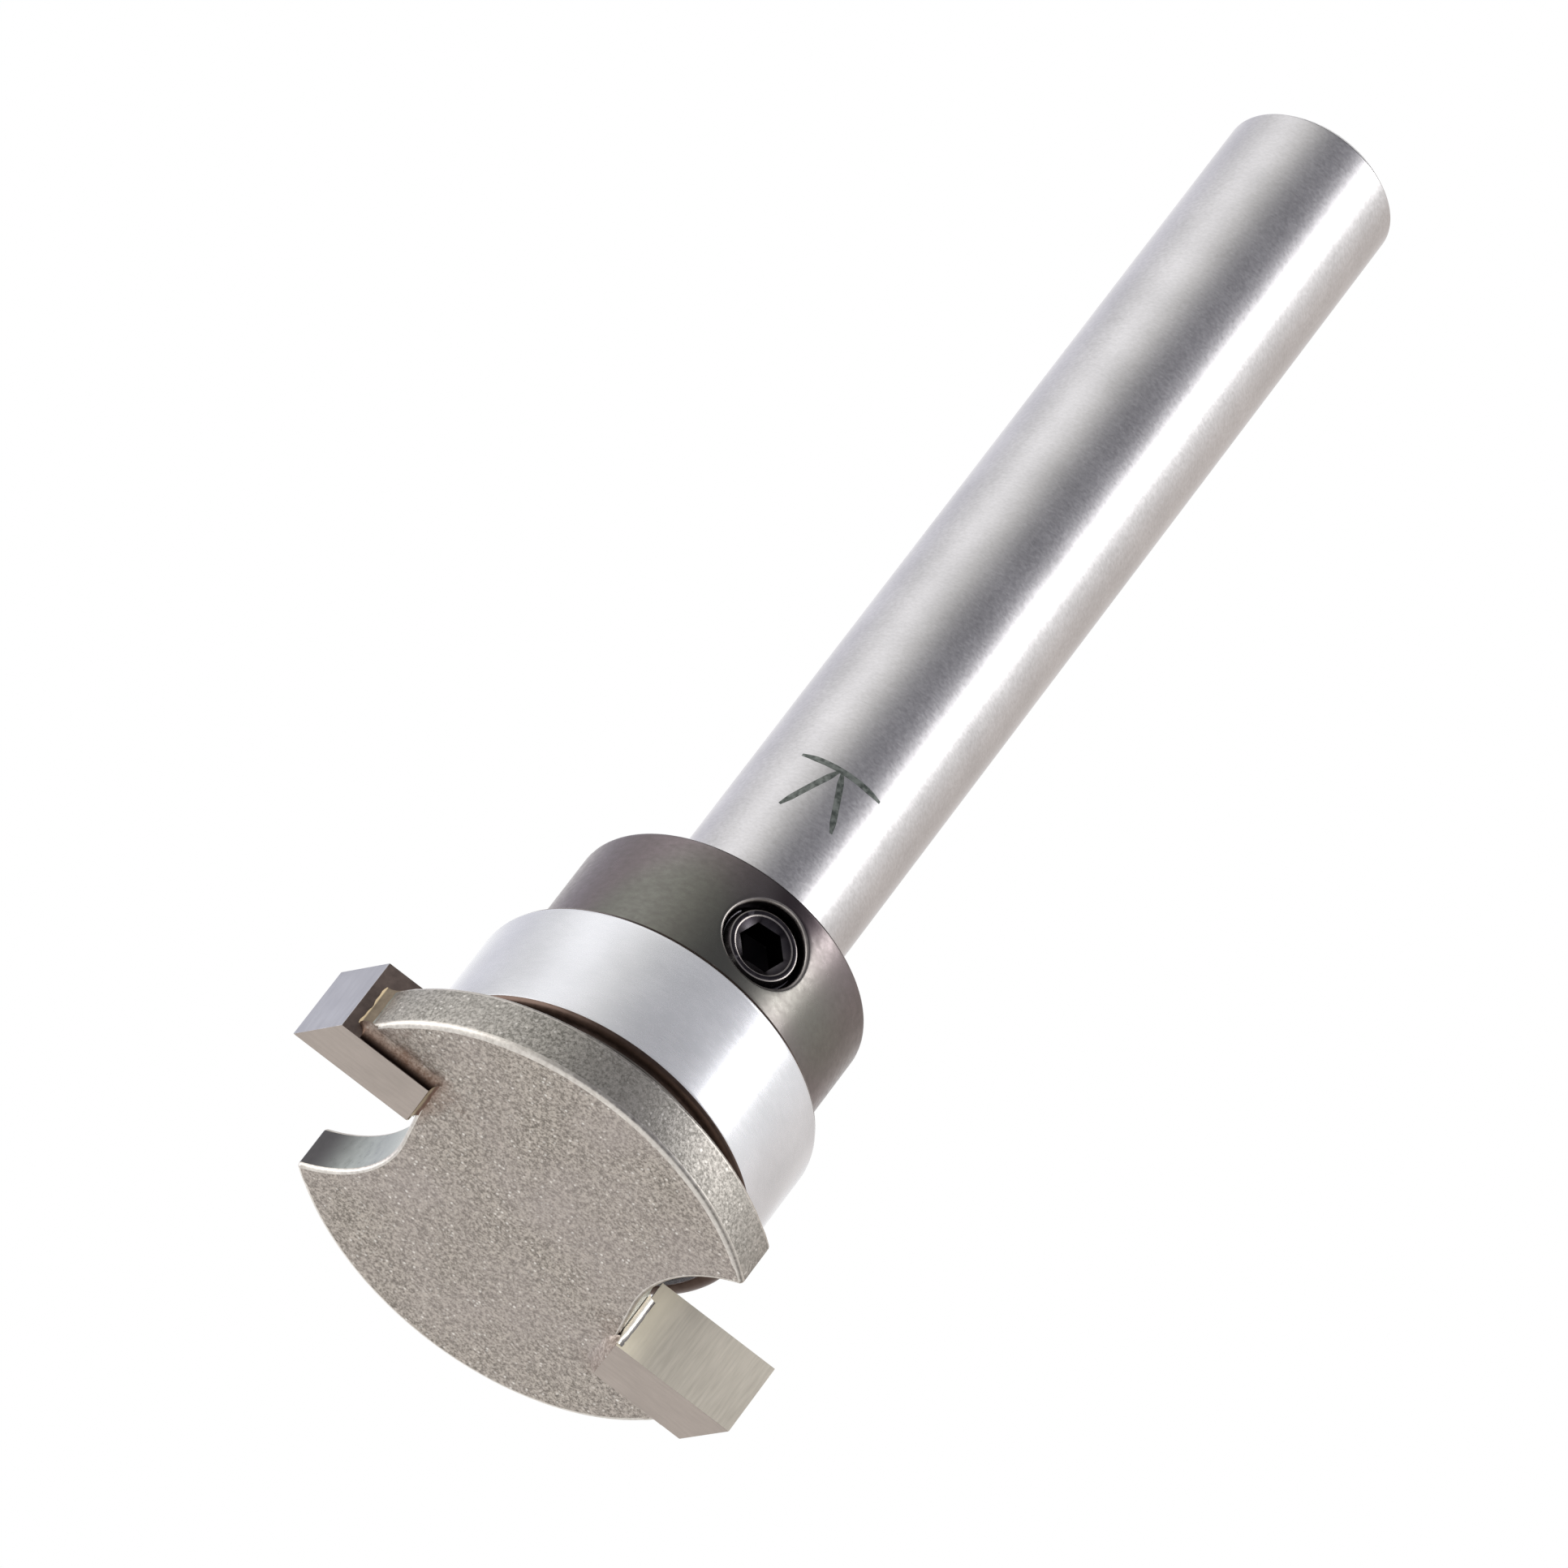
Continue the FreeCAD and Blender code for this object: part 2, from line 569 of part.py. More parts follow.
outward = collarTurn.multVec(vector(0, -1, 0))
screw.Placement = FreeCAD.Placement(
    outward * number("reliefRadius") + zAxis * number("screwHeight"),
    collarTurn.multiply(turn(vector(1, 0, 0), 90)))
doc.recompute()

# Check and export.
for item in doc.Objects:
    if any(word in item.State for word in ("Invalid", "Error")):
        raise RuntimeError(item.Label + " is in state " + str(item.State))

subParts = [item for item in doc.Objects if item.TypeId in ("PartDesign::Body", "Part::Sphere")]
for item in subParts:
    shape = item.Shape
    if shape.isNull() or not shape.isValid() or len(shape.Solids) != 1:
        raise RuntimeError(item.Label + " is not one valid solid")

os.makedirs("parts", exist_ok=True)
for item in subParts:
    item.Shape.exportStep("parts/%s.step" % item.Label)
    box = item.Shape.BoundBox
    print("%-22s %9.3f mm3  z %6.2f to %6.2f" % (item.Label, item.Shape.Volume, box.ZMin, box.ZMax))
print(len(subParts), "pieces")
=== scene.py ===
import bpy
import bmesh
import math
from mathutils import Matrix, Vector


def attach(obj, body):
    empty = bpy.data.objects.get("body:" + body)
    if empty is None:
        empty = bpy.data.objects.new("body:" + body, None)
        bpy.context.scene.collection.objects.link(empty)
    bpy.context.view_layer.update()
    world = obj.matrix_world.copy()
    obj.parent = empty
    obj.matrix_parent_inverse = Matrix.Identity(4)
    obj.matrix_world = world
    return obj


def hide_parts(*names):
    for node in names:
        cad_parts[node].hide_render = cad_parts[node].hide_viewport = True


# Undercut bit: blasted disc cutter with two brazed carbide tips, guide bearing,
# black stop collar and ground shank. Sizes below are in mm, the scene in metres.

mm = 0.001
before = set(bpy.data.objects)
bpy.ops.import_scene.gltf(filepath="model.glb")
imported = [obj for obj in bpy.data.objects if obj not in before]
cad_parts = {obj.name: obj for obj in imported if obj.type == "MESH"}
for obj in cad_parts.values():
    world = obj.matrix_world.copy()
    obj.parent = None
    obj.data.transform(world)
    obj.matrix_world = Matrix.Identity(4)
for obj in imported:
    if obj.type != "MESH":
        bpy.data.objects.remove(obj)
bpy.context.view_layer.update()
print("frame loaded,", len(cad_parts), "nodes")


def tone(red, green, blue):
    # screen colour 0 to 255, to the linear colour the shaders take
    linear = []
    for part in (red, green, blue):
        share = part / 255
        linear.append(share / 12.92 if share < 0.04045 else ((share + 0.055) / 1.055) ** 2.4)
    return (*linear, 1)


# Node helpers. A socket takes a plain value or the output of another node.

def feed(tree, target, value):
    if isinstance(value, bpy.types.NodeSocket):
        tree.links.new(value, target)
    else:
        target.default_value = value


def addNode(tree, kind, sockets=None, **settings):
    made = tree.nodes.new(kind)
    for key, value in settings.items():
        setattr(made, key, value)
    for key, value in (sockets or {}).items():
        feed(tree, made.inputs[key], value)
    return made


def calculate(tree, operation, first, second=None, clamp=False):
    sockets = {0: first} if second is None else {0: first, 1: second}
    made = addNode(tree, "ShaderNodeMath", sockets, operation=operation, use_clamp=clamp)
    return made.outputs[0]


def remap(tree, value, low, high, fromLow, fromHigh, smooth=False):
    made = addNode(tree, "ShaderNodeMapRange", {
        "Value": value, "From Min": fromLow, "From Max": fromHigh, "To Min": low, "To Max": high},
        interpolation_type="SMOOTHSTEP" if smooth else "LINEAR")
    return made.outputs["Result"]


def noise(tree, where, scale, detail, roughness=0.5):
    made = addNode(tree, "ShaderNodeTexNoise", {"Vector": where, "Scale": scale, "Detail": detail,
                                                "Roughness": roughness})
    return made.outputs["Fac"]


def separated(tree, vector):
    return addNode(tree, "ShaderNodeSeparateXYZ", {0: vector}).outputs


def blendColours(tree, factor, first, second, mode="MIX"):
    made = addNode(tree, "ShaderNodeMix", data_type="RGBA", blend_type=mode)
    for key, value in (("Factor_Float", factor), ("A_Color", first), ("B_Color", second)):
        feed(tree, next(s for s in made.inputs if s.identifier == key), value)
    return next(s for s in made.outputs if s.identifier == "Result_Color")


socketKinds = {"value": "NodeSocketFloat", "vector": "NodeSocketVector", "count": "NodeSocketInt",
               "geometry": "NodeSocketGeometry", "material": "NodeSocketMaterial"}


def newTree(name, takes, gives, kind="Shader"):
    # takes are (label, kind, value at the start), gives are labels
    tree = bpy.data.node_groups.new(name, kind + "NodeTree")
    for label, socket, value in takes:
        made = tree.interface.new_socket(label, in_out="INPUT", socket_type=socketKinds[socket])
        if value is not None:
            made.default_value = value
    given = socketKinds["value" if kind == "Shader" else "geometry"]
    for label in gives:
        tree.interface.new_socket(label, in_out="OUTPUT", socket_type=given)
    return tree, tree.nodes.new("NodeGroupInput").outputs, tree.nodes.new("NodeGroupOutput").inputs


# Fine scratches: noise stretched along the tool marks.
tree, takes, gives = newTree("grindMarks", [
    ("Vector", "vector", None), ("Stretch", "vector", (1, 1, 1)), ("Scale", "value", 1000.0),
    ("Depth", "value", 1.0)], ["Lines", "Clouds"])
stretched = addNode(tree, "ShaderNodeVectorMath", {0: takes["Vector"], 1: takes["Stretch"]},
                    operation="MULTIPLY").outputs[0]
scratches = noise(tree, stretched, takes["Scale"], 3.0, 0.6)
deepened = calculate(tree, "MULTIPLY", calculate(tree, "SUBTRACT", scratches, 0.5), takes["Depth"])
feed(tree, gives["Lines"], calculate(tree, "ADD", deepened, 0.5, True))
feed(tree, gives["Clouds"], noise(tree, takes["Vector"], 420.0, 2.0))

# Blasted skin: fine pits, small specks that catch the light, slow cloudiness.
tree, takes, gives = newTree("blastSkin", [
    ("Vector", "vector", None), ("Grain", "value", 12000.0), ("Specks", "value", 0.1)],
    ["Pits", "Sparkle", "Clouds"])
feed(tree, gives["Pits"], noise(tree, takes["Vector"], takes["Grain"], 3.0, 0.75))
specks = addNode(tree, "ShaderNodeTexVoronoi", {
    "Vector": takes["Vector"], "Scale": calculate(tree, "MULTIPLY", takes["Grain"], 0.7)},
    feature="F1").outputs
speckTone = addNode(tree, "ShaderNodeSeparateColor", {"Color": specks["Color"]}).outputs
lit = calculate(tree, "GREATER_THAN", takes["Specks"], speckTone["Red"])
near = remap(tree, specks["Distance"], 1.0, 0.0, 0.15, 0.48, True)
feed(tree, gives["Sparkle"], calculate(tree, "MULTIPLY", lit, calculate(
    tree, "MULTIPLY", near, speckTone["Green"])))
feed(tree, gives["Clouds"], noise(tree, takes["Vector"], 260.0, 4.0))

# Heat and flux colour left round the two brazed seats, the same on both sides of the axis.
tree, takes, gives = newTree("brazeHalo", [
    ("Vector", "vector", None), ("Reach", "value", 0.8 * mm), ("Low", "vector", (0, 0, 0)),
    ("High", "vector", (0, 0, 0))], ["Mask"])
at, lows, highs = [separated(tree, takes[label]) for label in ("Vector", "Low", "High")]
side = calculate(tree, "SIGN", at["X"])
squares = []
for axis in ("X", "Y"):
    along = calculate(tree, "MULTIPLY", at[axis], side)
    gap = calculate(tree, "MAXIMUM", calculate(tree, "SUBTRACT", lows[axis], along),
                    calculate(tree, "SUBTRACT", along, highs[axis]))
    gap = calculate(tree, "MAXIMUM", gap, 0.0)
    squares.append(calculate(tree, "MULTIPLY", gap, gap))
away = calculate(tree, "SQRT", calculate(tree, "ADD", *squares))
ripple = remap(tree, noise(tree, takes["Vector"], 1100.0, 3.0), 0.5, 1.9, 0.3, 0.7)
shaken = calculate(tree, "DIVIDE", calculate(tree, "MULTIPLY", away, ripple), takes["Reach"], True)
faded = calculate(tree, "SUBTRACT", 1.0, shaken, True)
feed(tree, gives["Mask"], calculate(tree, "MULTIPLY", faded, faded))

# A soft zone along one direction, the same when the part is turned half round.
tree, takes, gives = newTree("zoneFade", [
    ("Vector", "vector", None), ("Along", "vector", (1, 0, 0)), ("Start", "value", 0.0),
    ("Full", "value", 1.0)], ["Mask"])
at = separated(tree, takes["Vector"])
side = calculate(tree, "SIGN", at["X"])
folded = addNode(tree, "ShaderNodeCombineXYZ", {
    "X": calculate(tree, "MULTIPLY", at["X"], side),
    "Y": calculate(tree, "MULTIPLY", at["Y"], side), "Z": at["Z"]}).outputs[0]
reach = addNode(tree, "ShaderNodeVectorMath", {0: folded, 1: takes["Along"]},
                operation="DOT_PRODUCT").outputs["Value"]
feed(tree, gives["Mask"], remap(tree, reach, 0.0, 1.0, takes["Start"], takes["Full"], True))

# Edges rubbed bright, read from the sharpness of the surface.
tree, takes, gives = newTree("rubbedEdges", [
    ("Vector", "vector", None), ("Start", "value", 0.52), ("Full", "value", 0.6)], ["Mask"])
sharpness = addNode(tree, "ShaderNodeNewGeometry").outputs["Pointiness"]
ramped = remap(tree, sharpness, 0.0, 1.0, takes["Start"], takes["Full"])
broken = remap(tree, noise(tree, takes["Vector"], 2600.0, 3.0), 0.35, 1.0, 0.35, 0.6)
feed(tree, gives["Mask"], calculate(tree, "MULTIPLY", ramped, broken, True))
print("shader groups ready")


def startMaterial(name, metallic=1.0):
    made = bpy.data.materials.new(name)
    made.use_nodes = True
    tree = made.node_tree
    shader = tree.nodes["Principled BSDF"].inputs
    shader["Metallic"].default_value = metallic
    where = addNode(tree, "ShaderNodeTexCoord").outputs["Object"]
    return made, tree, shader, where


def placeGroup(tree, name, where, values):
    return addNode(tree, "ShaderNodeGroup", {"Vector": where, **values},
                   node_tree=bpy.data.node_groups[name]).outputs


def emboss(tree, shader, height, distance):
    bump = addNode(tree, "ShaderNodeBump", {"Strength": 1.0, "Distance": distance,
                                            "Height": height})
    feed(tree, shader["Normal"], bump.outputs["Normal"])


def addZone(tree, where, colour, zone):
    # zone is another tone, its direction, and where along that it starts and is full, in mm
    if not zone:
        return colour
    other, along, start, full = zone
    mask = placeGroup(tree, "zoneFade", where, {"Along": along, "Start": start * mm,
                                                "Full": full * mm})["Mask"]
    return blendColours(tree, mask, colour, tone(*other))


def groundMetal(name, dark, light, rough, spread, scale, marks, stretch=(1, 1, 1), metallic=1.0,
                worn=None, zone=None):
    # ground, turned or rolled metal: two close tones, marks along one direction, and where
    # given a worn tone on its edges and another tone in a zone
    made, tree, shader, where = startMaterial(name, metallic)
    lines = placeGroup(tree, "grindMarks", where, {"Stretch": stretch, "Scale": scale,
                                                   "Depth": 1.4})
    colour = blendColours(tree, lines["Lines"], tone(*dark), tone(*light))
    cloudy = remap(tree, lines["Clouds"], 0.93, 1.05, 0.3, 0.7)
    clouds = addNode(tree, "ShaderNodeCombineColor", {0: cloudy, 1: cloudy, 2: cloudy})
    colour = blendColours(tree, 1.0, colour, clouds.outputs["Color"], "MULTIPLY")
    if worn:
        rubbed = placeGroup(tree, "rubbedEdges", where, {"Start": worn[1], "Full": worn[2]})
        colour = blendColours(tree, rubbed["Mask"], colour, tone(*worn[0]))
    feed(tree, shader["Base Color"], addZone(tree, where, colour, zone))
    feed(tree, shader["Roughness"],
         remap(tree, lines["Lines"], rough - spread, rough + spread, 0.2, 0.8))
    emboss(tree, shader, lines["Lines"], marks)
    return made


# Mesh helpers

def placeObject(name, data):
    made = bpy.data.objects.new(name, data)
    bpy.context.scene.collection.objects.link(made)
    return made


def tubeFaces(around, levels, first=0):
    # faces between rings of points that follow one another
    return [[base + k, base + (k + 1) % around, base + around + (k + 1) % around,
             base + around + k]
            for base in range(first, first + (levels - 1) * around, around)
            for k in range(around)]


def roundCorners(corners, steps):
    # corners are (x, y, radius), and the result is a plain list of points
    points = []
    for k, (x, y, radius) in enumerate(corners):
        if radius <= 0:
            points.append((x, y))
            continue
        here = Vector((x, y))
        back = (Vector(corners[k - 1][:2]) - here).normalized()
        ahead = (Vector(corners[(k + 1) % len(corners)][:2]) - here).normalized()
        half = back.angle(ahead) / 2
        start = here + back * radius / math.tan(half)
        end = here + ahead * radius / math.tan(half)
        centre = here + (back + ahead).normalized() * radius / math.sin(half)
        first = math.atan2(start.y - centre.y, start.x - centre.x)
        sweep = math.atan2(end.y - centre.y, end.x - centre.x) - first
        sweep = (sweep + math.pi) % (2 * math.pi) - math.pi
        for step in range(steps + 1):
            angle = first + sweep * step / steps
            points.append((centre.x + radius * math.cos(angle),
                           centre.y + radius * math.sin(angle)))
    return points


def arcPoints(centre, radius, start, end, steps):
    angles = [math.radians(start + (end - start) * k / steps) for k in range(steps + 1)]
    return [(centre[0] + radius * math.cos(a), centre[1] + radius * math.sin(a)) for a in angles]


def meshObject(name, points, faces, materials, faceMaterials=None):
    mesh = bpy.data.meshes.new(name)
    mesh.from_pydata([(x * mm, y * mm, z * mm) for x, y, z in points], [], faces)
    for material in materials:
        mesh.materials.append(material)
    if faceMaterials:
        mesh.polygons.foreach_set("material_index", faceMaterials)
    shape = bmesh.new()
    shape.from_mesh(mesh)
    bmesh.ops.remove_doubles(shape, verts=shape.verts, dist=1e-7)
    bmesh.ops.recalc_face_normals(shape, faces=shape.faces)
    shape.to_mesh(mesh)
    shape.free()
    return placeObject(name, mesh)


def bakeModifiers(made):
    bpy.context.view_layer.update()
    graph = bpy.context.evaluated_depsgraph_get()
    baked = bpy.data.meshes.new_from_object(made.evaluated_get(graph), depsgraph=graph)
    made.modifiers.clear()
    old = made.data
    made.data = baked
    baked.name = made.name
    bpy.data.meshes.remove(old)


def trueShading(made, sharpAngle=32):
    # large faces keep their own direction, and only real corners stay sharp
    made.data.shade_smooth()
    made.data.set_sharp_from_angle(angle=math.radians(sharpAngle))
    weighted = made.modifiers.new("trueFaces", "WEIGHTED_NORMAL")
    weighted.keep_sharp = True
    bakeModifiers(made)
    return made


def turned(name, profile, material, steps):
    # a lathe: profile is a closed list of (radius, height)
    points, rings = [], []
    for radius, height in profile:
        if radius < 1e-9:
            rings.append([len(points)])
            points.append((0, 0, height))
        else:
            rings.append(list(range(len(points), len(points) + steps)))
            for k in range(steps):
                angle = 2 * math.pi * k / steps
                points.append((radius * math.cos(angle), radius * math.sin(angle), height))
    faces = []
    for k, lower in enumerate(rings):
        upper = rings[(k + 1) % len(rings)]
        if len(lower) == 1 and len(upper) == 1:
            continue
        for s in range(steps):
            t = (s + 1) % steps
            corners = [lower[s % len(lower)], lower[t % len(lower)],
                       upper[t % len(upper)], upper[s % len(upper)]]
            faces.append(list(dict.fromkeys(corners)))
    return trueShading(meshObject(name, points, faces, [material]))


def slab(name, outline, low, high, materials, sideMaterial, softened, softness, segments=3,
         edgeMaterial=-1):
    # an upright plate: outline in plan, softened(middle of an edge) says how far it is rounded
    count = len(outline)
    points = [(x, y, level) for level in (low, high) for x, y in outline]
    faces = [list(reversed(range(count))), list(range(count, 2 * count))]
    faceMaterials = [0, 0]
    for i in range(count):
        j = (i + 1) % count
        faces.append([i, j, count + j, count + i])
        middle = ((outline[i][0] + outline[j][0]) / 2, (outline[i][1] + outline[j][1]) / 2)
        faceMaterials.append(sideMaterial(middle))
    made = meshObject(name, points, faces, materials, faceMaterials)
    shape = bmesh.new()
    shape.from_mesh(made.data)
    weight = shape.edges.layers.float.new("bevel_weight_edge")
    for edge in shape.edges:
        ends = [vertex.co / mm for vertex in edge.verts]
        flat = abs(ends[0].z - ends[1].z) < 1e-6
        middle = (ends[0] + ends[1]) / 2
        edge[weight] = softened((middle.x, middle.y), flat)
    shape.to_mesh(made.data)
    shape.free()
    bevel = made.modifiers.new("softRims", "BEVEL")
    bevel.limit_method = "WEIGHT"
    bevel.width = softness * mm
    bevel.segments = segments
    bevel.material = edgeMaterial
    bevel.use_clamp_overlap = False
    bakeModifiers(made)
    return trueShading(made)


def merged(name, pieces, materials):
    # one mesh of several pieces, each keeping its materials
    whole = bmesh.new()
    for piece in pieces:
        own = [materials.index(material) for material in piece.data.materials]
        for face in piece.data.polygons:
            face.material_index = own[min(face.material_index, len(own) - 1)]
        whole.from_mesh(piece.data)
    mesh = bpy.data.meshes.new(name)
    whole.to_mesh(mesh)
    whole.free()
    for material in materials:
        mesh.materials.append(material)
    for piece in pieces:
        bpy.data.objects.remove(piece)
    return placeObject(name, mesh)


def settle(made, body, nodes=()):
    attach(made, body)
    if nodes:
        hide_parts(*nodes)


# Materials

shankGround = groundMetal("shankGround", (202, 200, 201), (234, 232, 234), 0.35, 0.05, 6400.0,
                          1e-6, (1, 1, 1.8))
racePolished = groundMetal("racePolished", (226, 227, 231), (234, 234, 238), 0.27, 0.02, 2200.0,
                           1e-7, (1, 1, 3), 0.66)
# dark brown for the bearing ring's end faces and rounded edges: painted shade, the reflection of
# the shaded disc below
raceFace = groundMetal("raceFace", (88, 73, 66), (118, 100, 91), 0.34, 0.05, 3000.0, 8e-7)
sheetPressed = groundMetal("sheetPressed", (150, 150, 152), (182, 182, 184), 0.34, 0.06, 2600.0,
                           1e-6)
ballBright = groundMetal("ballBright", (226, 227, 230), (236, 237, 240), 0.08, 0.02, 1500.0, 1e-7)
cageSheet = groundMetal("cageSheet", (165, 163, 160), (190, 188, 184), 0.4, 0.07, 2400.0, 1.5e-6)
# gullet walls: ground metal, darkened toward the lip as painted shade standing for a dark
# reflection
gulletGround = groundMetal("gulletGround", (170, 176, 172), (206, 210, 207), 0.34, 0.1, 4800.0,
                           2e-6, (1, 1, 0.6), 0.85, None, ((84, 82, 84), (0, -1, 0), 3.2, 4.7))
rakeGround = groundMetal("rakeGround", (186, 179, 166), (220, 212, 199), 0.42, 0.07, 4200.0,
                         1.6e-6, (2.4, 1, 0.16), 0.3, None,
                         ((250, 240, 218), (1, 0, 0), 6.3, 4.84))
endGround = groundMetal("endGround", (188, 188, 194), (208, 208, 214), 0.33, 0.05, 3600.0, 8e-7,
                        (0.3, 2, 0.3))
undersideGround = groundMetal("undersideGround", (160, 150, 142), (184, 173, 165), 0.4, 0.06,
                              3600.0, 8e-7, (0.3, 2, 1))
backScale = groundMetal("backScale", (88, 77, 72), (128, 113, 106), 0.5, 0.1, 3000.0, 2e-6,
                        metallic=0.7)
brazeAlloy = groundMetal("brazeAlloy", (168, 144, 106), (232, 214, 180), 0.34, 0.1, 2200.0, 6e-6)
brazeGold = groundMetal("brazeGold", (206, 188, 152), (244, 232, 204), 0.34, 0.08, 3000.0, 3e-6,
                        metallic=0.7, zone=((128, 98, 82), (0, 0, 1), 0.28, 0.38))
brazeRim = groundMetal("brazeRim", (112, 97, 80), (152, 138, 118), 0.6, 0.1, 5200.0, 8e-6,
                       metallic=0.3, zone=((228, 206, 168), (1, 0, 0), 7.86, 7.91))
brazeSilver = groundMetal("brazeSilver", (214, 208, 198), (246, 242, 234), 0.24, 0.06, 3000.0,
                          3e-6)
# pale tone for the disc's rounded rims and lips: a painted highlight
wornEdge = groundMetal("wornEdge", (180, 173, 165), (242, 237, 230), 0.38, 0.1, 6200.0, 6e-6)
washerDark = groundMetal("washerDark", (70, 60, 54), (104, 92, 84), 0.4, 0.08, 2400.0, 1.5e-6)
screwOxide = groundMetal("screwOxide", (46, 42, 47), (66, 62, 67), 0.26, 0.06, 3200.0, 1.2e-6,
                         worn=((150, 146, 150), 0.53, 0.62))
# near black for the inside of the hex socket: painted shade in the recess
socketDark = groundMetal("socketDark", (18, 17, 18), (30, 28, 30), 0.4, 0.06, 3200.0, 1.2e-6)
# pale tone on the hole's mouth and the screw's rim chamfers: a painted highlight
oxideWorn = groundMetal("oxideWorn", (150, 144, 141), (190, 184, 180), 0.34, 0.06, 3600.0, 2e-6)

# black oxide of the collar: greenish grey on the whole, with a violet cast in places and a
# dark violet painted shade above the screw hole
collarOxide, tree, shader, where = startMaterial("collarOxide")
lines = placeGroup(tree, "grindMarks", where, {"Stretch": (1, 1, 1.6), "Scale": 3400.0,
                                               "Depth": 1.5})["Lines"]
cast = remap(tree, noise(tree, where, 130.0, 1.0), 0.0, 1.0, 0.36, 0.54, True)
colour = blendColours(tree, cast, tone(126, 126, 119), tone(134, 123, 126))
colour = blendColours(tree, remap(tree, lines, 0.0, 0.5, 0.2, 0.8), colour, tone(107, 102, 99))
rubbed = placeGroup(tree, "rubbedEdges", where, {"Start": 0.53, "Full": 0.62})["Mask"]
colour = blendColours(tree, rubbed, colour, tone(168, 162, 158))
# painted shade: a dark violet spot on the collar above the screw hole
paintedShadeAt = (1.15 * mm, -5.3 * mm, 13.35 * mm)
paintedShadeSpot = addNode(tree, "ShaderNodeVectorMath", {0: where, 1: paintedShadeAt}, operation="DISTANCE")
paintedShadeMask = remap(tree, paintedShadeSpot.outputs["Value"], 0.75, 0.0, 0.5 * mm, 1.6 * mm, True)
feed(tree, shader["Base Color"], blendColours(tree, paintedShadeMask, colour, tone(60, 48, 56)))
feed(tree, shader["Roughness"], remap(tree, lines, 0.26, 0.34, 0.2, 0.8))
emboss(tree, shader, lines, 2.0e-6)


def blasted(name, dark, light, cloud, burn, zone=None):
    # blasted steel: warm grey, with burnt brown round the brazed seats, more on the -X side
    made, tree, shader, where = startMaterial(name)
    skin = placeGroup(tree, "blastSkin", where, {"Grain": 8600.0, "Specks": 0.34})
    halo = placeGroup(tree, "brazeHalo", where, {
        "Reach": 1.1 * mm, "Low": (4.84 * mm, 1.43 * mm, 0), "High": (8.6 * mm, 3.5 * mm, 0)})
    colour = blendColours(tree, remap(tree, skin["Pits"], 0.0, 1.0, 0.38, 0.62), tone(*dark),
                          tone(*light))
    colour = blendColours(tree, remap(tree, skin["Clouds"], 0.0, 0.5, 0.35, 0.7), colour,
                          tone(*cloud))
    colour = blendColours(tree, remap(tree, skin["Sparkle"], 0.0, 0.75, 0.15, 1.0), colour,
                          tone(246, 242, 236))
    burnt = remap(tree, separated(tree, where)["X"], burn, 0.35 * burn, -4 * mm, 4 * mm)
    colour = blendColours(tree, calculate(tree, "MULTIPLY", halo["Mask"], burnt), colour,
                          tone(124, 92, 74))
    feed(tree, shader["Base Color"], addZone(tree, where, colour, zone))
    feed(tree, shader["Roughness"], remap(tree, skin["Pits"], 0.54, 0.42, 0.3, 0.7))
    emboss(tree, shader, skin["Pits"], 1.3e-5)
    return made


blastedSteel = blasted("blastedSteel", (128, 121, 113), (200, 191, 181), (180, 170, 166), 0.8)
blastedRim = blasted("blastedRim", (134, 131, 124), (204, 199, 192), (184, 179, 174), 0.3)
# seam behind the -X tip: blasted steel with heat brown, near black toward the tip as painted shade
brazeBrown = blasted("brazeBrown", (126, 118, 109), (196, 186, 175), (175, 164, 157), 0.85,
                     ((36, 27, 24), (0, 0, 1), 0.36, 0.07))

# marking etched in the shank
markEtched, tree, shader, where = startMaterial("markEtched", 0.6)
etching = remap(tree, noise(tree, where, 5200.0, 2.0), 0.0, 1.0, 0.35, 0.65)
feed(tree, shader["Base Color"],
     blendColours(tree, etching, tone(78, 84, 80), tone(128, 133, 129)))
shader["Roughness"].default_value = 0.45
print("materials ready")

# Shank and shoulder

shankSizes = {"radius": 3.175, "top": 54.45, "chamfer": 0.34, "shoulder": 3.95, "foot": 1.30,
              "seat": 4.10, "neckRadius": 3.005, "neckFoot": 10.1525, "neckTop": 13.6025}
s = shankSizes
shankProfile = roundCorners([
    (0, s["foot"], 0), (s["shoulder"], s["foot"], 0), (s["shoulder"], s["seat"], 0.08),
    (s["radius"], s["seat"], 0.04), (s["radius"], s["neckFoot"], 0.03),
    (s["neckRadius"], s["neckFoot"], 0.03), (s["neckRadius"], s["neckTop"], 0.03),
    (s["radius"], s["neckTop"], 0.03), (s["radius"], s["top"] - s["chamfer"], 0.1),
    (s["radius"] - s["chamfer"], s["top"], 0.1), (0, s["top"], 0)], 4)
settle(turned("shank", shankProfile, shankGround, 256), "cutter",
       ["cutter_body"])
print("shank turned")

# Disc cutter with gullets and tip seats

discSizes = {"radius": 8.44, "low": 0.42, "high": 2.27, "edge": 0.2, "gulletRadius": 4.95,
             "gulletX": 9.51, "gulletY": -0.71, "lip": 0.17, "rake": 1.43, "seatIn": 4.75,
             "seatBack": 3.57}
d = discSizes


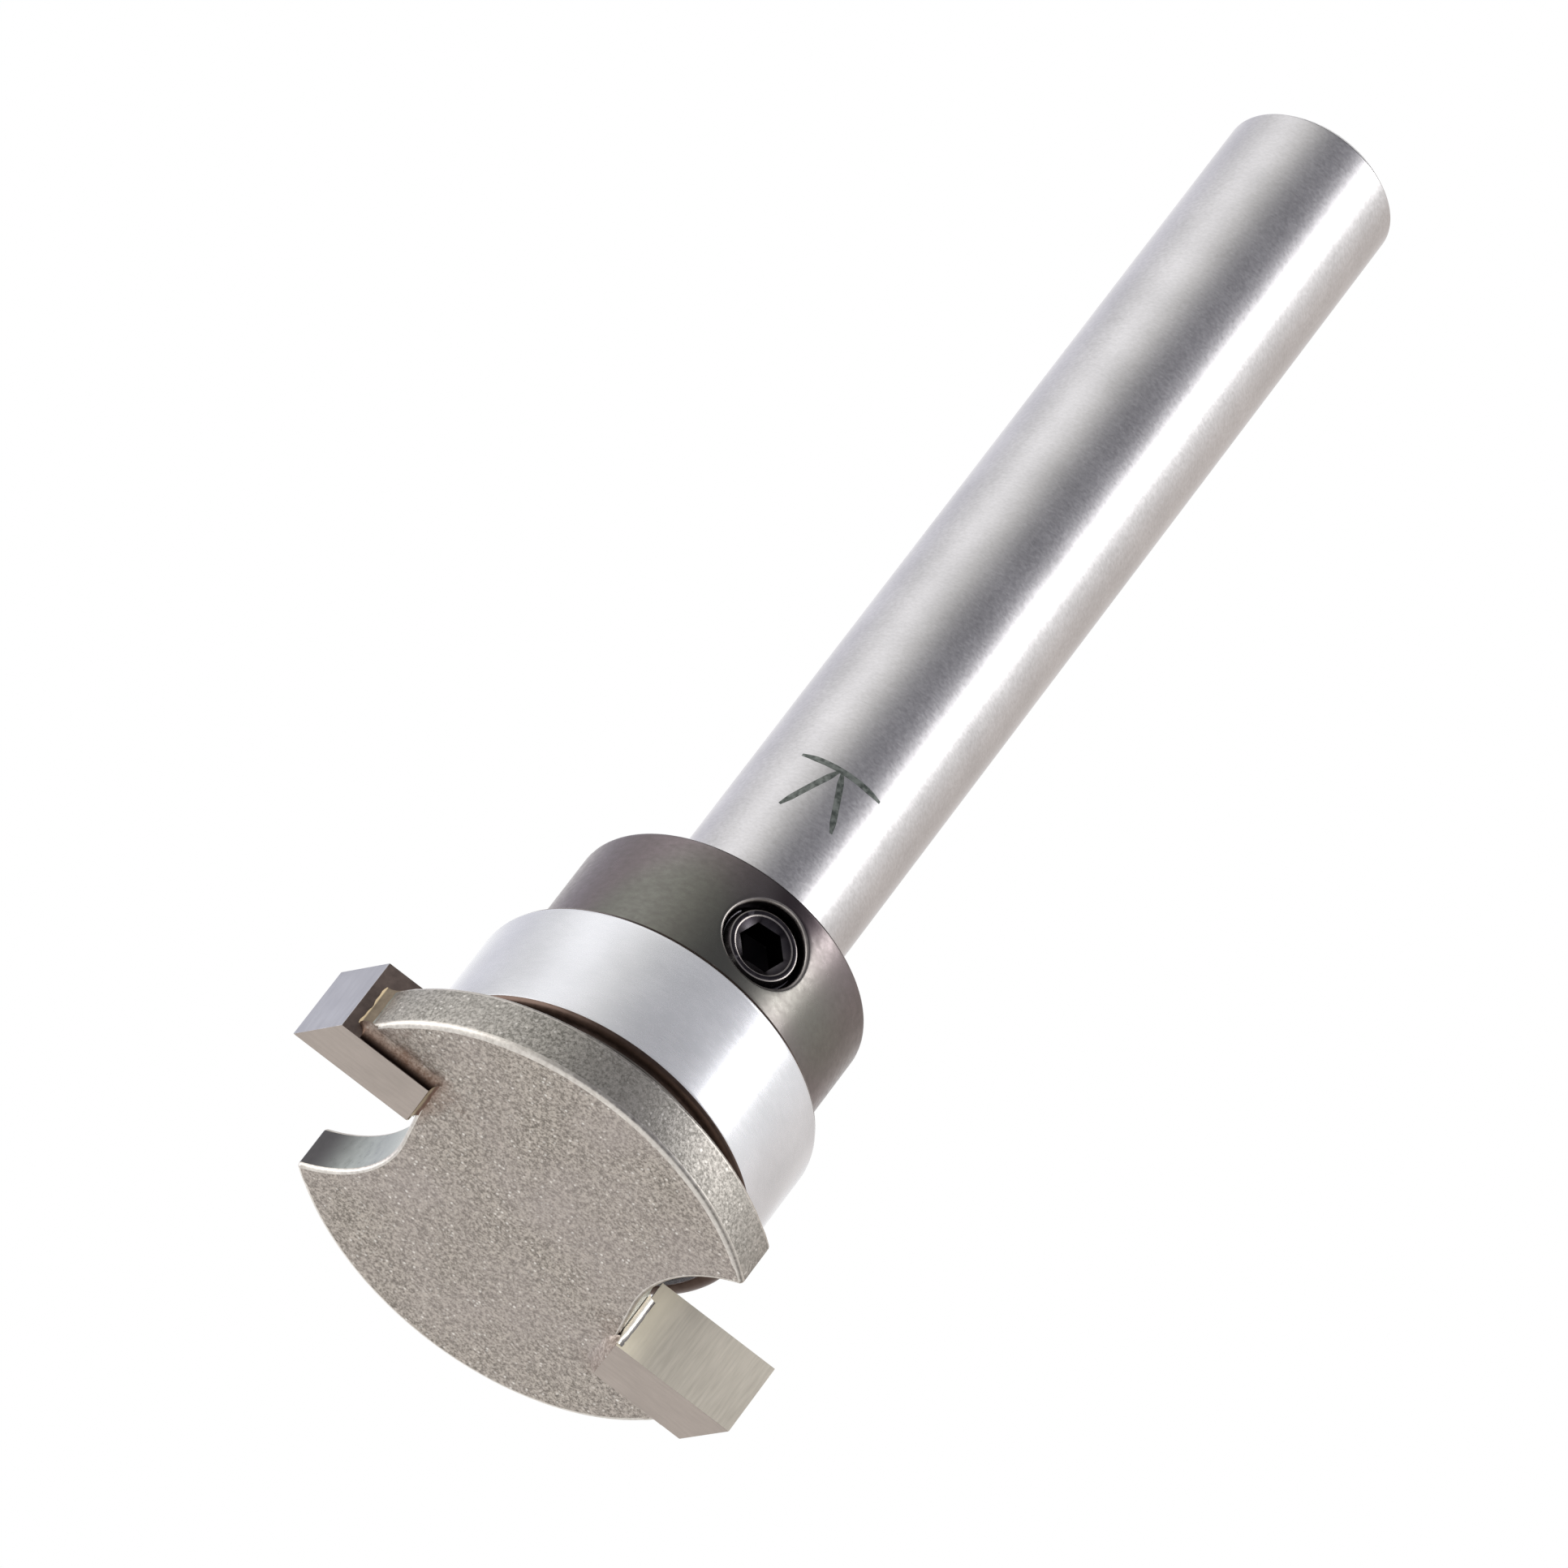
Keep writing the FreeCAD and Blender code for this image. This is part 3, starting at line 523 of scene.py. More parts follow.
def discOutline():
    # upper half from the back of the +X seat round to the -X seat, then the same turned half round
    gullet = (-d["gulletX"], -d["gulletY"])
    far = math.hypot(*gullet)
    inside, outside = d["radius"] - d["lip"], d["gulletRadius"] + d["lip"]
    spread = math.acos((inside ** 2 + far ** 2 - outside ** 2) / (2 * inside * far))
    lipAngle = math.atan2(gullet[1], gullet[0]) - spread
    lip = (inside * math.cos(lipAngle), inside * math.sin(lipAngle))
    inward = math.degrees(math.atan2(lip[1] - gullet[1], lip[0] - gullet[0]))
    rim = arcPoints((0, 0), d["radius"], math.degrees(math.asin(d["seatBack"] / d["radius"])),
                    math.degrees(lipAngle), 72)
    nose = arcPoints(lip, d["lip"], math.degrees(lipAngle), inward + 180, 10)
    # the scoop's arc runs out straight into the corner of the seat
    across, rise = d["gulletX"] - d["seatIn"], d["rake"] + gullet[1]
    leaving = math.atan2(rise, across) - math.acos(d["gulletRadius"] / math.hypot(across, rise))
    scoop = arcPoints(gullet, d["gulletRadius"], inward, -math.degrees(leaving), 44)
    seat = [(-d["seatIn"], -d["rake"]), (-d["seatIn"], -d["seatBack"])]
    half = rim + nose[1:] + scoop[1:] + seat
    return half + [(-x, -y) for x, y in half]


def inScoop(x, y):
    return min(math.hypot(x - k * d["gulletX"], y - k * d["gulletY"]) for k in (1, -1)) \
        < d["gulletRadius"] + 0.08


def discSide(middle):
    if inScoop(*middle):
        return 1
    return 2 if math.hypot(*middle) > d["radius"] - 0.2 else 0


def discSoft(middle, flat):
    # the rim is rounded most, the scoops and lips less, the brazed seats not at all
    if not flat:
        return 0
    x, y = middle if middle[0] > 0 else (-middle[0], -middle[1])
    away = math.hypot(x - d["gulletX"], y - d["gulletY"]) - d["gulletRadius"]
    if math.hypot(x, y) > d["radius"] - 0.2:
        return 1 if away > 1 else 0.7
    return 0.7 if away < 0.08 else 0


# the rounded rims and lips take the pale painted highlight
cutterDisc = slab("cutterDisc", discOutline(), d["low"], d["high"],
                  [blastedSteel, gulletGround, blastedRim, wornEdge], discSide, discSoft,
                  d["edge"], 4, edgeMaterial=3)
settle(cutterDisc, "cutter", ["cutter_body"])
print("disc cut")

# Carbide tips

tipSizes = {"rake": 1.43, "back": 3.48, "inner": 4.84, "corner": 9.417, "heel": 8.327,
            "top": 3.06, "edge": 0.03}
t = tipSizes
tipOutline = [(t["inner"], t["rake"]), (t["corner"], t["rake"]), (t["heel"], t["back"]),
              (t["inner"], t["back"])]


def turnHalf(made):
    made.data.transform(Matrix.Rotation(math.pi, 4, "Z"))
    return made


def tipSide(middle):
    if abs(middle[1] - t["rake"]) < 0.01:
        return 1
    return 2 if middle[0] > t["heel"] else 3


for number in (1, 2):
    tip = slab("carbideTip%d" % number, tipOutline, 0, t["top"],
               [undersideGround, rakeGround, endGround, backScale], tipSide,
               lambda middle, flat: 1, t["edge"], 2)
    if number == 2:
        turnHalf(tip)
    settle(tip, "cutter", ["carbide_tip_%d" % number])
print("tips ground")

# Braze: a thin layer in each seat, seams under the tips, at the rim and in the gullet, and beads
# run by geometry nodes along the seat's upper edges. Pairs are the least and the most of a flow

brazeSizes = {"beadRadius": 0.11, "flow": 0.55, "ripple": 1900.0, "spacing": 0.06, "recess": 0.13,
              "cleanInset": 0.04, "cleanLow": 0.004, "cleanWide": (0.4, 0.5),
              "cleanGrowth": ((1.46, 0.12), (1.6, 0.26), (1.85, 0.42), (2.2, 0.54), (2.8, 0.6),
                              (3.3, 0.6)),
              "innerTall": (0.36, 0.39), "innerWide": (0.2, 0.27), "cornerTall": 0.4,
              "cornerWide": (0.3, 0.5), "backTall": (0.39, 0.41), "backWide": (0.46, 0.56),
              "endTall": 0.38, "endWide": (0.5, 0.28), "rimLift": (-0.02, 0.02),
              "rimTall": (0.26, 0.34), "rimWide": (0.36, 0.46), "footTall": (0.9, 1.0),
              "footWide": (0.2, 0.24), "cheekTall": (0.98, 1.0), "cheekWide": (0.27, 0.3),
              "cheekLift": 0.015, "layerEnd": 7.62}
b = brazeSizes
down, inward, upward, outward = (0, 0, -1), (-1, 0, 0), (0, 1, 0), (1, 0, 0)


def endTree(tree, geometry, material, result):
    real = addNode(tree, "GeometryNodeRealizeInstances", {"Geometry": geometry})
    smooth = addNode(tree, "GeometryNodeSetShadeSmooth", {"Geometry": real.outputs["Geometry"]})
    dressed = addNode(tree, "GeometryNodeSetMaterial", {
        "Geometry": smooth.outputs["Geometry"], "Material": material})
    feed(tree, result, dressed.outputs["Geometry"])


def runNodes(name, tree, values, points=(), lines=()):
    mesh = bpy.data.meshes.new(name)
    mesh.from_pydata([(x * mm, y * mm, z * mm) for x, y, z in points], lines, [])
    made = placeObject(name, mesh)
    modifier = made.modifiers.new(tree.name, "NODES")
    modifier.node_group = tree
    sockets = {item.name: item.identifier for item in tree.interface.items_tree
               if item.in_out == "INPUT"}
    for label, value in values.items():
        modifier[sockets[label]] = value
    bakeModifiers(made)
    return made


beadTree, takes, result = newTree("brazeBead", [
    ("Geometry", "geometry", None), ("Radius", "value", 0.13 * mm), ("Flow", "value", 0.5),
    ("Ripple", "value", 1800.0), ("Spacing", "value", 0.06 * mm), ("Material", "material", None)],
    ["Geometry"], "Geometry")
path = addNode(beadTree, "GeometryNodeMeshToCurve", {"Mesh": takes["Geometry"]})
even = addNode(beadTree, "GeometryNodeResampleCurve", {
    "Curve": path.outputs["Curve"], "Length": takes["Spacing"]}, mode="LENGTH")
wave = noise(beadTree, addNode(beadTree, "GeometryNodeInputPosition").outputs["Position"],
             takes["Ripple"], 2.0)
least = calculate(beadTree, "SUBTRACT", 1.0, takes["Flow"])
rim = addNode(beadTree, "GeometryNodeCurvePrimitiveCircle", {
    "Resolution": 14, "Radius": takes["Radius"]})
sweep = addNode(beadTree, "GeometryNodeCurveToMesh", {
    "Curve": even.outputs["Curve"], "Profile Curve": rim.outputs["Curve"], "Fill Caps": True,
    "Scale": remap(beadTree, wave, least, 1.25, 0.3, 0.7)})
endTree(beadTree, sweep.outputs["Mesh"], takes["Material"], result["Geometry"])


def filletStrip(name, stations, material, level=False):
    # strip in a corner: each station is its corner, the way up the wall and the way out.
    # It is hollow, or level at both ends
    steps = 8
    points, faces = [], []
    for corner, wall, out in stations:
        for k in range(steps + 1):
            roll = math.radians(90 * k / steps)
            rise, along = 1 - math.sin(roll), 1 - math.cos(roll)
            if level:
                rise, along = (1 + math.cos(2 * roll)) / 2, k / steps
            points.append(tuple(Vector(corner) + Vector(wall) * rise + Vector(out) * along))
        points.append(tuple(Vector(corner) - Vector(wall) * 0.1 - Vector(out) * 0.1))
    wide = steps + 2
    for k in range(len(stations) - 1):
        for s in range(wide):
            n = (s + 1) % wide
            faces.append([k * wide + s, k * wide + n, (k + 1) * wide + n, (k + 1) * wide + s])
    faces.append(list(range(wide)))
    faces.append(list(range(len(points) - wide, len(points))))
    return trueShading(meshObject(name, points, faces, [material]), 50)


def wavy(low, high, share):
    # slow uneven flow of the alloy along a seam
    swing = 0.5 + 0.3 * math.sin(9.4 * share + 0.6) + 0.2 * math.sin(23.0 * share)
    return low + (high - low) * swing


def seamStations(start, end, wall, out, tall, broad, steps=16):
    stations = []
    for k in range(steps + 1):
        share = k / steps
        corner = Vector(start).lerp(Vector(end), share)
        stations.append((corner, Vector(wall) * wavy(*tall, share),
                         Vector(out) * wavy(*broad, share + 0.37)))
    return stations


def cornerStations(corner, first, second, tall, broad, steps=6):
    # a fan round a corner, its width running from one value to the other
    stations = []
    for k in range(steps + 1):
        turn = Vector(first).lerp(Vector(second), k / steps).normalized()
        reach = broad[0] + (broad[1] - broad[0]) * k / steps
        stations.append((Vector(corner), Vector(down) * tall, turn * reach))
    return stations


def cleanSeams():
    # under the +X tip: blasted clean and level with the tip's underside
    low = d["low"] + 0.01
    tall, inner, back = low - b["cleanLow"], t["inner"] + b["cleanInset"], \
        t["back"] - b["cleanInset"]
    stations = [(Vector((inner, y, low)), Vector(down) * tall, Vector((-wide, 0, 0)))
                for y, wide in b["cleanGrowth"]]
    stations += cornerStations((inner, back, low), inward, upward, tall, (0.6, 0.46))
    stations += seamStations((inner + 0.1, back, low), (7.58, back, low), down, upward,
                             (tall, tall), b["cleanWide"])
    return [filletStrip("cleanSeam", stations, blastedSteel, True)]


def brownSeams():
    # under the -X tip: golden along its inner end, brown along its back, painted shade by the tip
    low, inner, back = d["low"] + 0.01, t["inner"], t["back"]
    along = cornerStations((inner, back, low), inward, upward, b["cornerTall"], b["cornerWide"])
    along += seamStations((inner + 0.05, back, low), (7.6, back, low), down, upward,
                          b["backTall"], b["backWide"])
    along += cornerStations((b["layerEnd"], back, low), upward, (1, 0.1, 0), b["endTall"],
                            b["endWide"])
    across = seamStations((inner, t["rake"] + 0.03, low), (inner, back, low), down, inward,
                          b["innerTall"], b["innerWide"])
    return [filletStrip("backSeam", along, brazeBrown),
            filletStrip("innerSeam", across, brazeGold)]


layerOutline = [(d["seatIn"], t["rake"] + 0.02), (t["inner"], t["rake"] + 0.02),
                (t["inner"], t["back"]), (b["layerEnd"], t["back"]), (7.60, d["seatBack"]),
                (d["seatIn"], d["seatBack"])]
beadPath = [(7.45, 3.55, 2.27), (6.4, 3.56, 2.28), (5.1, 3.55, 2.28), (4.80, 3.42, 2.28),
            (4.77, 2.4, 2.28), (4.79, 1.55, 2.26)]

for number in (1, 2):
    layer = slab("brazeLayer%d" % number, layerOutline, d["low"] + b["recess"], d["high"] - 0.02,
                 [brazeAlloy], lambda middle: 0, lambda middle, flat: 0, 0.01)
    under = cleanSeams() if number == 1 else brownSeams()
    rake, back = t["rake"] - b["cheekLift"], t["back"] + b["rimLift"][number - 1]
    rimSeam = seamStations((7.64, back, 0.47), (7.64, back, 2.23), outward, (-0.43, 0.9, 0),
                           b["rimTall"], b["rimWide"])
    cheekSeam = seamStations((4.83, rake, 0.08), (4.81, rake, 0.36), (0, -0.1, 0), outward,
                             b["footTall"], b["footWide"], 6)
    cheekSeam += seamStations((4.77, rake, 0.5), (4.77, rake, 2.24), (-0.03, -0.3, 0), outward,
                              b["cheekTall"], b["cheekWide"])
    bead = runNodes("brazeBead", beadTree, {
        "Radius": b["beadRadius"] * mm, "Flow": b["flow"], "Ripple": b["ripple"],
        "Spacing": b["spacing"] * mm, "Material": brazeAlloy},
        beadPath, [(k, k + 1) for k in range(len(beadPath) - 1)])
    joint = merged("brazeJoint%d" % number, [
        layer, *under, filletStrip("rimSeam", rimSeam, brazeRim),
        filletStrip("cheekSeam", cheekSeam, brazeSilver), bead],
        [brazeAlloy, brazeBrown, brazeRim, brazeGold, brazeSilver, blastedSteel])
    if number == 2:
        turnHalf(joint)
    settle(joint, "cutter", ["braze_joint_%d" % number])
print("braze run")

# Bearing

bearingSizes = {"outside": 6.35, "bore": 3.187, "low": 4.10, "high": 8.8625, "pitch": 4.7625,
                "ball": 0.79375, "groove": 0.84375, "innerLand": 4.189, "outerLand": 5.336,
                "seat": 5.82, "seatDeep": 0.50, "edge": 0.38, "shieldOut": 5.81,
                "shieldIn": 4.319, "sheet": 0.18, "pressFrom": (5.30, 5.38),
                "pressTo": (5.62, 5.68), "pressShare": 0.55, "balls": 7}
g = bearingSizes
middle = (g["low"] + g["high"]) / 2
half = math.degrees(math.acos((g["pitch"] - g["innerLand"]) / g["groove"]))
outerGroove = arcPoints((g["pitch"], middle), g["groove"], half, -half, 14)
innerGroove = arcPoints((g["pitch"], middle), g["groove"], 180 - half, 180 + half, 14)
outerRace = roundCorners([
    (g["outside"], g["low"], 0.8 * g["edge"]), (g["outside"], g["high"], g["edge"]),
    (g["seat"], g["high"], 0.05), (g["seat"], g["high"] - g["seatDeep"], 0),
    (g["outerLand"], g["high"] - g["seatDeep"], 0)]
    + [(r, z, 0) for r, z in outerGroove]
    + [(g["outerLand"], g["low"] + g["seatDeep"], 0), (g["seat"], g["low"] + g["seatDeep"], 0),
       (g["seat"], g["low"], 0.05)], 5)
ring = turned("bearingRing", outerRace, racePolished, 256)
ring.data.materials.append(raceFace)
# faces that tilt up or down take the dark brown: painted shade on the ring's ends and rounded edges
for face in ring.data.polygons:
    if not -0.4 < face.normal.z < 0.2:
        face.material_index = 1
settle(ring, "bearing_ring", ["bearing_outer_race"])
innerRace = roundCorners([
    (g["bore"], g["low"], 0.08), (g["innerLand"], g["low"], 0.08)]
    + [(r, z, 0) for r, z in reversed(innerGroove)]
    + [(g["innerLand"], g["high"], 0.08), (g["bore"], g["high"], 0.08)], 4)
inner = turned("bearingInner", innerRace, racePolished, 160)
settle(inner, "cutter", ["bearing_inner_race"])


for name, level, facing in (("Lower", g["low"] + g["seatDeep"], -1),
                            ("Upper", g["high"] - g["seatDeep"], 1)):
    # pressed sheet: a flat web with a shallow step near the rim
    face, step = level + facing * g["sheet"], level + facing * g["sheet"] * g["pressShare"]
    shield = turned("shield" + name, roundCorners([
        (g["shieldIn"], level, 0.04), (g["shieldIn"], face, 0.06), (g["pressFrom"][0], face, 0.05),
        (g["pressFrom"][1], step, 0.05), (g["pressTo"][0], step, 0.05),
        (g["pressTo"][1], face, 0.04), (g["shieldOut"], face, 0.05), (g["shieldOut"], level, 0)],
        3), sheetPressed, 160)
    settle(shield, "bearing_ring", ["bearing_shield_" + name.lower()])

ballTree, takes, result = newTree("ballRow", [
    ("Balls", "count", 7), ("Pitch Radius", "value", 4.76 * mm), ("Ball Radius", "value", 0.8 * mm),
    ("Height", "value", 0.0), ("Material", "material", None)], ["Geometry"], "Geometry")
row = addNode(ballTree, "GeometryNodeMeshCircle", {
    "Vertices": takes["Balls"], "Radius": takes["Pitch Radius"]})
up = addNode(ballTree, "ShaderNodeCombineXYZ", {"Z": takes["Height"]})
lift = addNode(ballTree, "GeometryNodeSetPosition", {
    "Geometry": row.outputs["Mesh"], "Offset": up.outputs[0]})
sphere = addNode(ballTree, "GeometryNodeMeshUVSphere", {
    "Segments": 40, "Rings": 24, "Radius": takes["Ball Radius"]})
spread = addNode(ballTree, "GeometryNodeInstanceOnPoints", {
    "Points": lift.outputs["Geometry"], "Instance": sphere.outputs["Mesh"]})
endTree(ballTree, spread.outputs["Instances"], takes["Material"], result["Geometry"])
balls = runNodes("balls", ballTree, {"Balls": g["balls"], "Pitch Radius": g["pitch"] * mm,
                                     "Ball Radius": g["ball"] * mm, "Height": middle * mm,
                                     "Material": ballBright})
settle(balls, "ball_train", ["ball_%d" % (k + 1) for k in range(g["balls"])])
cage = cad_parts["ball_cage"]
cage.data.materials.clear()
cage.data.materials.append(cageSheet)
print("bearing built")

# Washer, stop collar and grub screw

collarSizes = {"outside": 5.425, "bore": 3.195, "low": 9.2525, "high": 13.5525, "edge": 0.14,
               "washer": 3.98, "turn": -80.7, "height": 11.4025, "hole": 1.51, "mouth": 0.16,
               "patch": 1.9, "cells": 24, "rings": 6, "back": 150, "walls": (0.5, 1.0),
               "floor": 3.6}
c = collarSizes
washer = turned("washer", roundCorners([
    (c["bore"], g["high"], 0.03), (c["washer"], g["high"], 0.08), (c["washer"], c["low"], 0.08),
    (c["bore"], c["low"], 0.03)], 3), washerDark, 160)
settle(washer, "cutter", ["spacer_washer"])


def buildCollar():
    # lathe grid whose columns and rows meet a square patch, where rings lead into the screw hole
    reach, cells = c["patch"], c["cells"]
    slopes = [math.tan(math.radians(-45 + 90 * k / cells)) for k in range(cells + 1)]
    columns = [math.asin(reach * slope / c["outside"]) for slope in slopes]
    start, span = columns[-1], 2 * math.pi - (columns[-1] - columns[0])
    columns += [start + span * k / c["back"] for k in range(1, c["back"])]
    rows = roundCorners([(c["bore"], c["low"], 0.1), (c["outside"], c["low"], c["edge"])]
                        + [(c["outside"], c["height"] + reach * slope, 0) for slope in slopes]
                        + [(c["outside"], c["high"], c["edge"]), (c["bore"], c["high"], 0.1)], 5)
    firstRow = next(k for k, (r, z) in enumerate(rows)
                    if abs(z - (c["height"] + reach * slopes[0])) < 1e-9)
    aim = math.radians(c["turn"])
    points = [(r * math.cos(aim + a), r * math.sin(aim + a), z) for r, z in rows for a in columns]
    faces = []
    wide = len(columns)
    for row in range(len(rows)):
        above = (row + 1) % len(rows)
        for col in range(wide):
            if col < cells and firstRow <= row < firstRow + cells:
                continue
            beside = (col + 1) % wide
            faces.append([row * wide + col, row * wide + beside, above * wide + beside,
                          above * wide + col])
    around = 4 * cells
    outer = c["hole"] + c["mouth"]
    bands = [(None, k / c["rings"], 0) for k in range(c["rings"] + 1)]
    for k in range(1, 5):
        roll = math.radians(90 * k / 4)
        bands.append((outer - c["mouth"] * math.sin(roll), 1, c["mouth"] * (1 - math.cos(roll))))
    bands += [(c["hole"], 1, depth) for depth in c["walls"]]
    first = len(points)
    for radius, share, sink in bands:
        for k in range(around):
            angle = math.radians(-45 + 360 * k / around)
            cos, sin = math.cos(angle), math.sin(angle)
            square = reach / max(abs(cos), abs(sin))
            away = radius if radius else square + (outer - square) * share
            across, rise = away * cos, away * sin
            out = math.sqrt(c["outside"] ** 2 - across ** 2) - sink
            points.append((out, across, c["height"] + rise))
    for k in range(around):
        angle = math.radians(-45 + 360 * k / around)
        points.append((c["floor"], c["hole"] * math.cos(angle),
                       c["height"] + c["hole"] * math.sin(angle)))
    points.append((c["floor"], 0, c["height"]))
    cosAim, sinAim = math.cos(aim), math.sin(aim)
    for k in range(first, len(points)):
        x, y, z = points[k]
        points[k] = (x * cosAim - y * sinAim, x * sinAim + y * cosAim, z)
    levels = len(bands) + 1
    faceMaterials = [0] * len(faces)
    faces += tubeFaces(around, levels, first)
    # the rounded bands of the hole's mouth take the pale tone: painted highlight
    faceMaterials += [1 if c["rings"] < level < c["rings"] + 4 else 0
                      for level in range(levels - 1) for k in range(around)]
    last = first + (levels - 1) * around
    faces += [[last + k, last + (k + 1) % around, len(points) - 1] for k in range(around)]
    faceMaterials += [0] * around
    return trueShading(meshObject("stopCollar", points, faces, [collarOxide, oxideWorn],
                                  faceMaterials))


settle(buildCollar(), "cutter", ["stop_collar"])

screwSizes = {"foot": 3.005, "face": 5.165, "core": 1.37, "crest": 1.45, "point": 0.45,
              "cup": 0.70, "cupDeep": 0.30, "bevel": 0.24, "rimRadius": 1.20, "land": 1.02,
              "flat": 0.75, "lead": 0.14, "socket": 1.10, "floor": 1.35, "pitch": 0.50,
              "turns": 2.6, "ridge": 0.16, "threadFoot": 0.55, "roll": 12, "sharpAngle": 28}
w = screwSizes


def hexRadius(angle, flat):
    return flat / math.cos((angle % (math.pi / 3)) - math.pi / 6)


def buildScrew():
    around = 96
    tall = w["face"] - w["foot"]
    circles = [(w["cup"] * 0.02, w["cupDeep"], 0), (w["cup"] - 0.03, 0.02, 0), (w["cup"], 0, 0),
               (w["cup"] + 0.04, 0.01, 0), (w["core"], w["point"], 0),
               (w["core"], tall - w["bevel"], 0), (w["rimRadius"] + 0.04, tall - 0.02, 0),
               (w["rimRadius"], tall, 0), (w["land"] + 0.05, tall, 0),
               (w["land"], tall - 0.02, 0), (w["flat"], tall - w["lead"], 1),
               (w["flat"], tall - w["lead"] - 0.02, 1), (w["flat"], tall - w["socket"], 1),
               (w["flat"] * 0.96, tall - w["socket"] - 0.03, 1), (0.01, tall - w["floor"], 0)]
    points = []
    for radius, height, six in circles:
        for k in range(around):
            angle = 2 * math.pi * k / around
            reach = hexRadius(angle, radius) if six else radius
            points.append((reach * math.cos(angle), reach * math.sin(angle), height))
    faces = tubeFaces(around, len(circles))
    # the screw's rim chamfers take the pale painted highlight, the socket's faces the painted shade
    faceMaterials = [1 if level in (6, 8) else 2 if level >= 10 else 0
                     for level in range(len(circles) - 1) for k in range(around)] + [0, 2]
    faces.append(list(range(around)))
    faces.append(list(range(len(points) - around, len(points))))
    return trueShading(meshObject("screwBody", points, faces, [screwOxide, oxideWorn, socketDark],
                                  faceMaterials), w["sharpAngle"])


threadTree, takes, result = newTree("screwThread", [
    ("Radius", "value", 1.4 * mm), ("Pitch", "value", 0.5 * mm), ("Turns", "value", 3.0),
    ("Ridge", "value", 0.16 * mm), ("Material", "material", None)], ["Geometry"], "Geometry")
helix = addNode(threadTree, "GeometryNodeCurveSpiral", {
    "Resolution": 56, "Rotations": takes["Turns"], "Start Radius": takes["Radius"],
    "End Radius": takes["Radius"],
    "Height": calculate(threadTree, "MULTIPLY", takes["Turns"], takes["Pitch"])})
ridge = addNode(threadTree, "GeometryNodeCurvePrimitiveCircle", {
    "Resolution": 4, "Radius": takes["Ridge"]})
cut = addNode(threadTree, "GeometryNodeCurveToMesh", {
    "Curve": helix.outputs["Curve"], "Profile Curve": ridge.outputs["Curve"], "Fill Caps": True})
endTree(threadTree, cut.outputs["Mesh"], takes["Material"], result["Geometry"])
thread = runNodes("screwThread", threadTree, {
    "Radius": (w["crest"] - w["ridge"]) * mm, "Pitch": w["pitch"] * mm, "Turns": w["turns"],
    "Ridge": w["ridge"] * mm, "Material": screwOxide})
thread.data.transform(Matrix.Translation((0, 0, w["threadFoot"] * mm)))
grubScrew = merged("grubScrew", [buildScrew(), thread], [screwOxide, oxideWorn, socketDark])
grubScrew.data.set_sharp_from_angle(angle=math.radians(w["sharpAngle"]))
aim, roll = math.radians(c["turn"]), math.radians(w["roll"])
outAxis = Vector((math.cos(aim), math.sin(aim), 0))
sideAxis = Vector((-math.sin(aim), math.cos(aim), 0)) * math.cos(roll) \
    + Vector((0, 0, 1)) * math.sin(roll)
turnIn = Matrix((sideAxis, outAxis.cross(sideAxis), outAxis)).transposed().to_4x4()
turnIn.translation = outAxis * w["foot"] * mm + Vector((0, 0, c["height"] * mm))
grubScrew.data.transform(turnIn)
settle(grubScrew, "cutter", ["set_screw"])
print("collar and screw built")

# Depth mark on the shank: a bar across and two strokes, etched

markSizes = {"proud": 0.004, "sunk": 0.03, "width": 0.23, "tip": 0.45, "swell": 3.2,
             "steps": 28}
strokes = [((-127.2, 20.31), (-70.9, 20.31)), ((-101.2, 20.25), (-119.1, 18.0)),
           ((-99.2, 20.25), (-83.1, 18.0))]


def buildMark():
    points, faces = [], []
    for (startTurn, startLevel), (endTurn, endLevel) in strokes:
        reach = shankSizes["radius"]
        run = Vector((math.radians(endTurn - startTurn) * reach, endLevel - startLevel))
        normal = Vector((-run.y, run.x)).normalized()
        base, steps = len(points), markSizes["steps"]
        for k in range(steps + 1):
            share = k / steps
            taper = min(1, markSizes["tip"] + markSizes["swell"] * min(share, 1 - share))
            for edge in (-0.5, 0.5):
                aside = normal * edge * markSizes["width"] * taper
                angle = math.radians(startTurn) + (run.x * share + aside.x) / reach
                level = startLevel + run.y * share + aside.y
                for out in (reach + markSizes["proud"], reach - markSizes["sunk"]):
                    points.append((out * math.cos(angle), out * math.sin(angle), level))
        for k in range(steps):
            a, e = base + 4 * k, base + 4 * (k + 1)
            faces += [[a, e, e + 2, a + 2], [a + 1, a + 3, e + 3, e + 1],
                      [a, a + 1, e + 1, e], [a + 2, e + 2, e + 3, a + 3]]
        end = base + 4 * steps
        faces += [[base, base + 2, base + 3, base + 1], [end, end + 1, end + 3, end + 2]]
    return trueShading(meshObject("depthMark", points, faces, [markEtched]))


settle(buildMark(), "cutter")
print("mark etched")

# Studio: pale floor, graded paper surround seen only in reflections, three soft lamps

studio = {"floorRadius": 0.45, "fadeFrom": 0.14, "surroundRadius": 0.6, "surroundLow": -0.6,
          "surroundHigh": 1.3, "surroundStrength": 1.5, "ambient": 0.8, "lampFar": 0.42,
          "aimHeight": 22}
lamps = {"keyLamp": {"turn": -38, "rise": 37, "size": (0.115, 0.3), "watts": 0.46},
         "fillLamp": {"turn": -112, "rise": 12, "size": (0.2, 0.3), "watts": 0.3},
         "edgeLamp": {"turn": 174, "rise": -18, "size": (0.7, 0.34), "watts": 1.05}}


def newScenery(name, points, faces, material, *hidden):
    mesh = bpy.data.meshes.new(name)
    mesh.from_pydata(points, [], faces)
    mesh.materials.append(material)
    made = placeObject(name, mesh)
    for ray in hidden:
        setattr(made, "visible_" + ray, False)
    return made


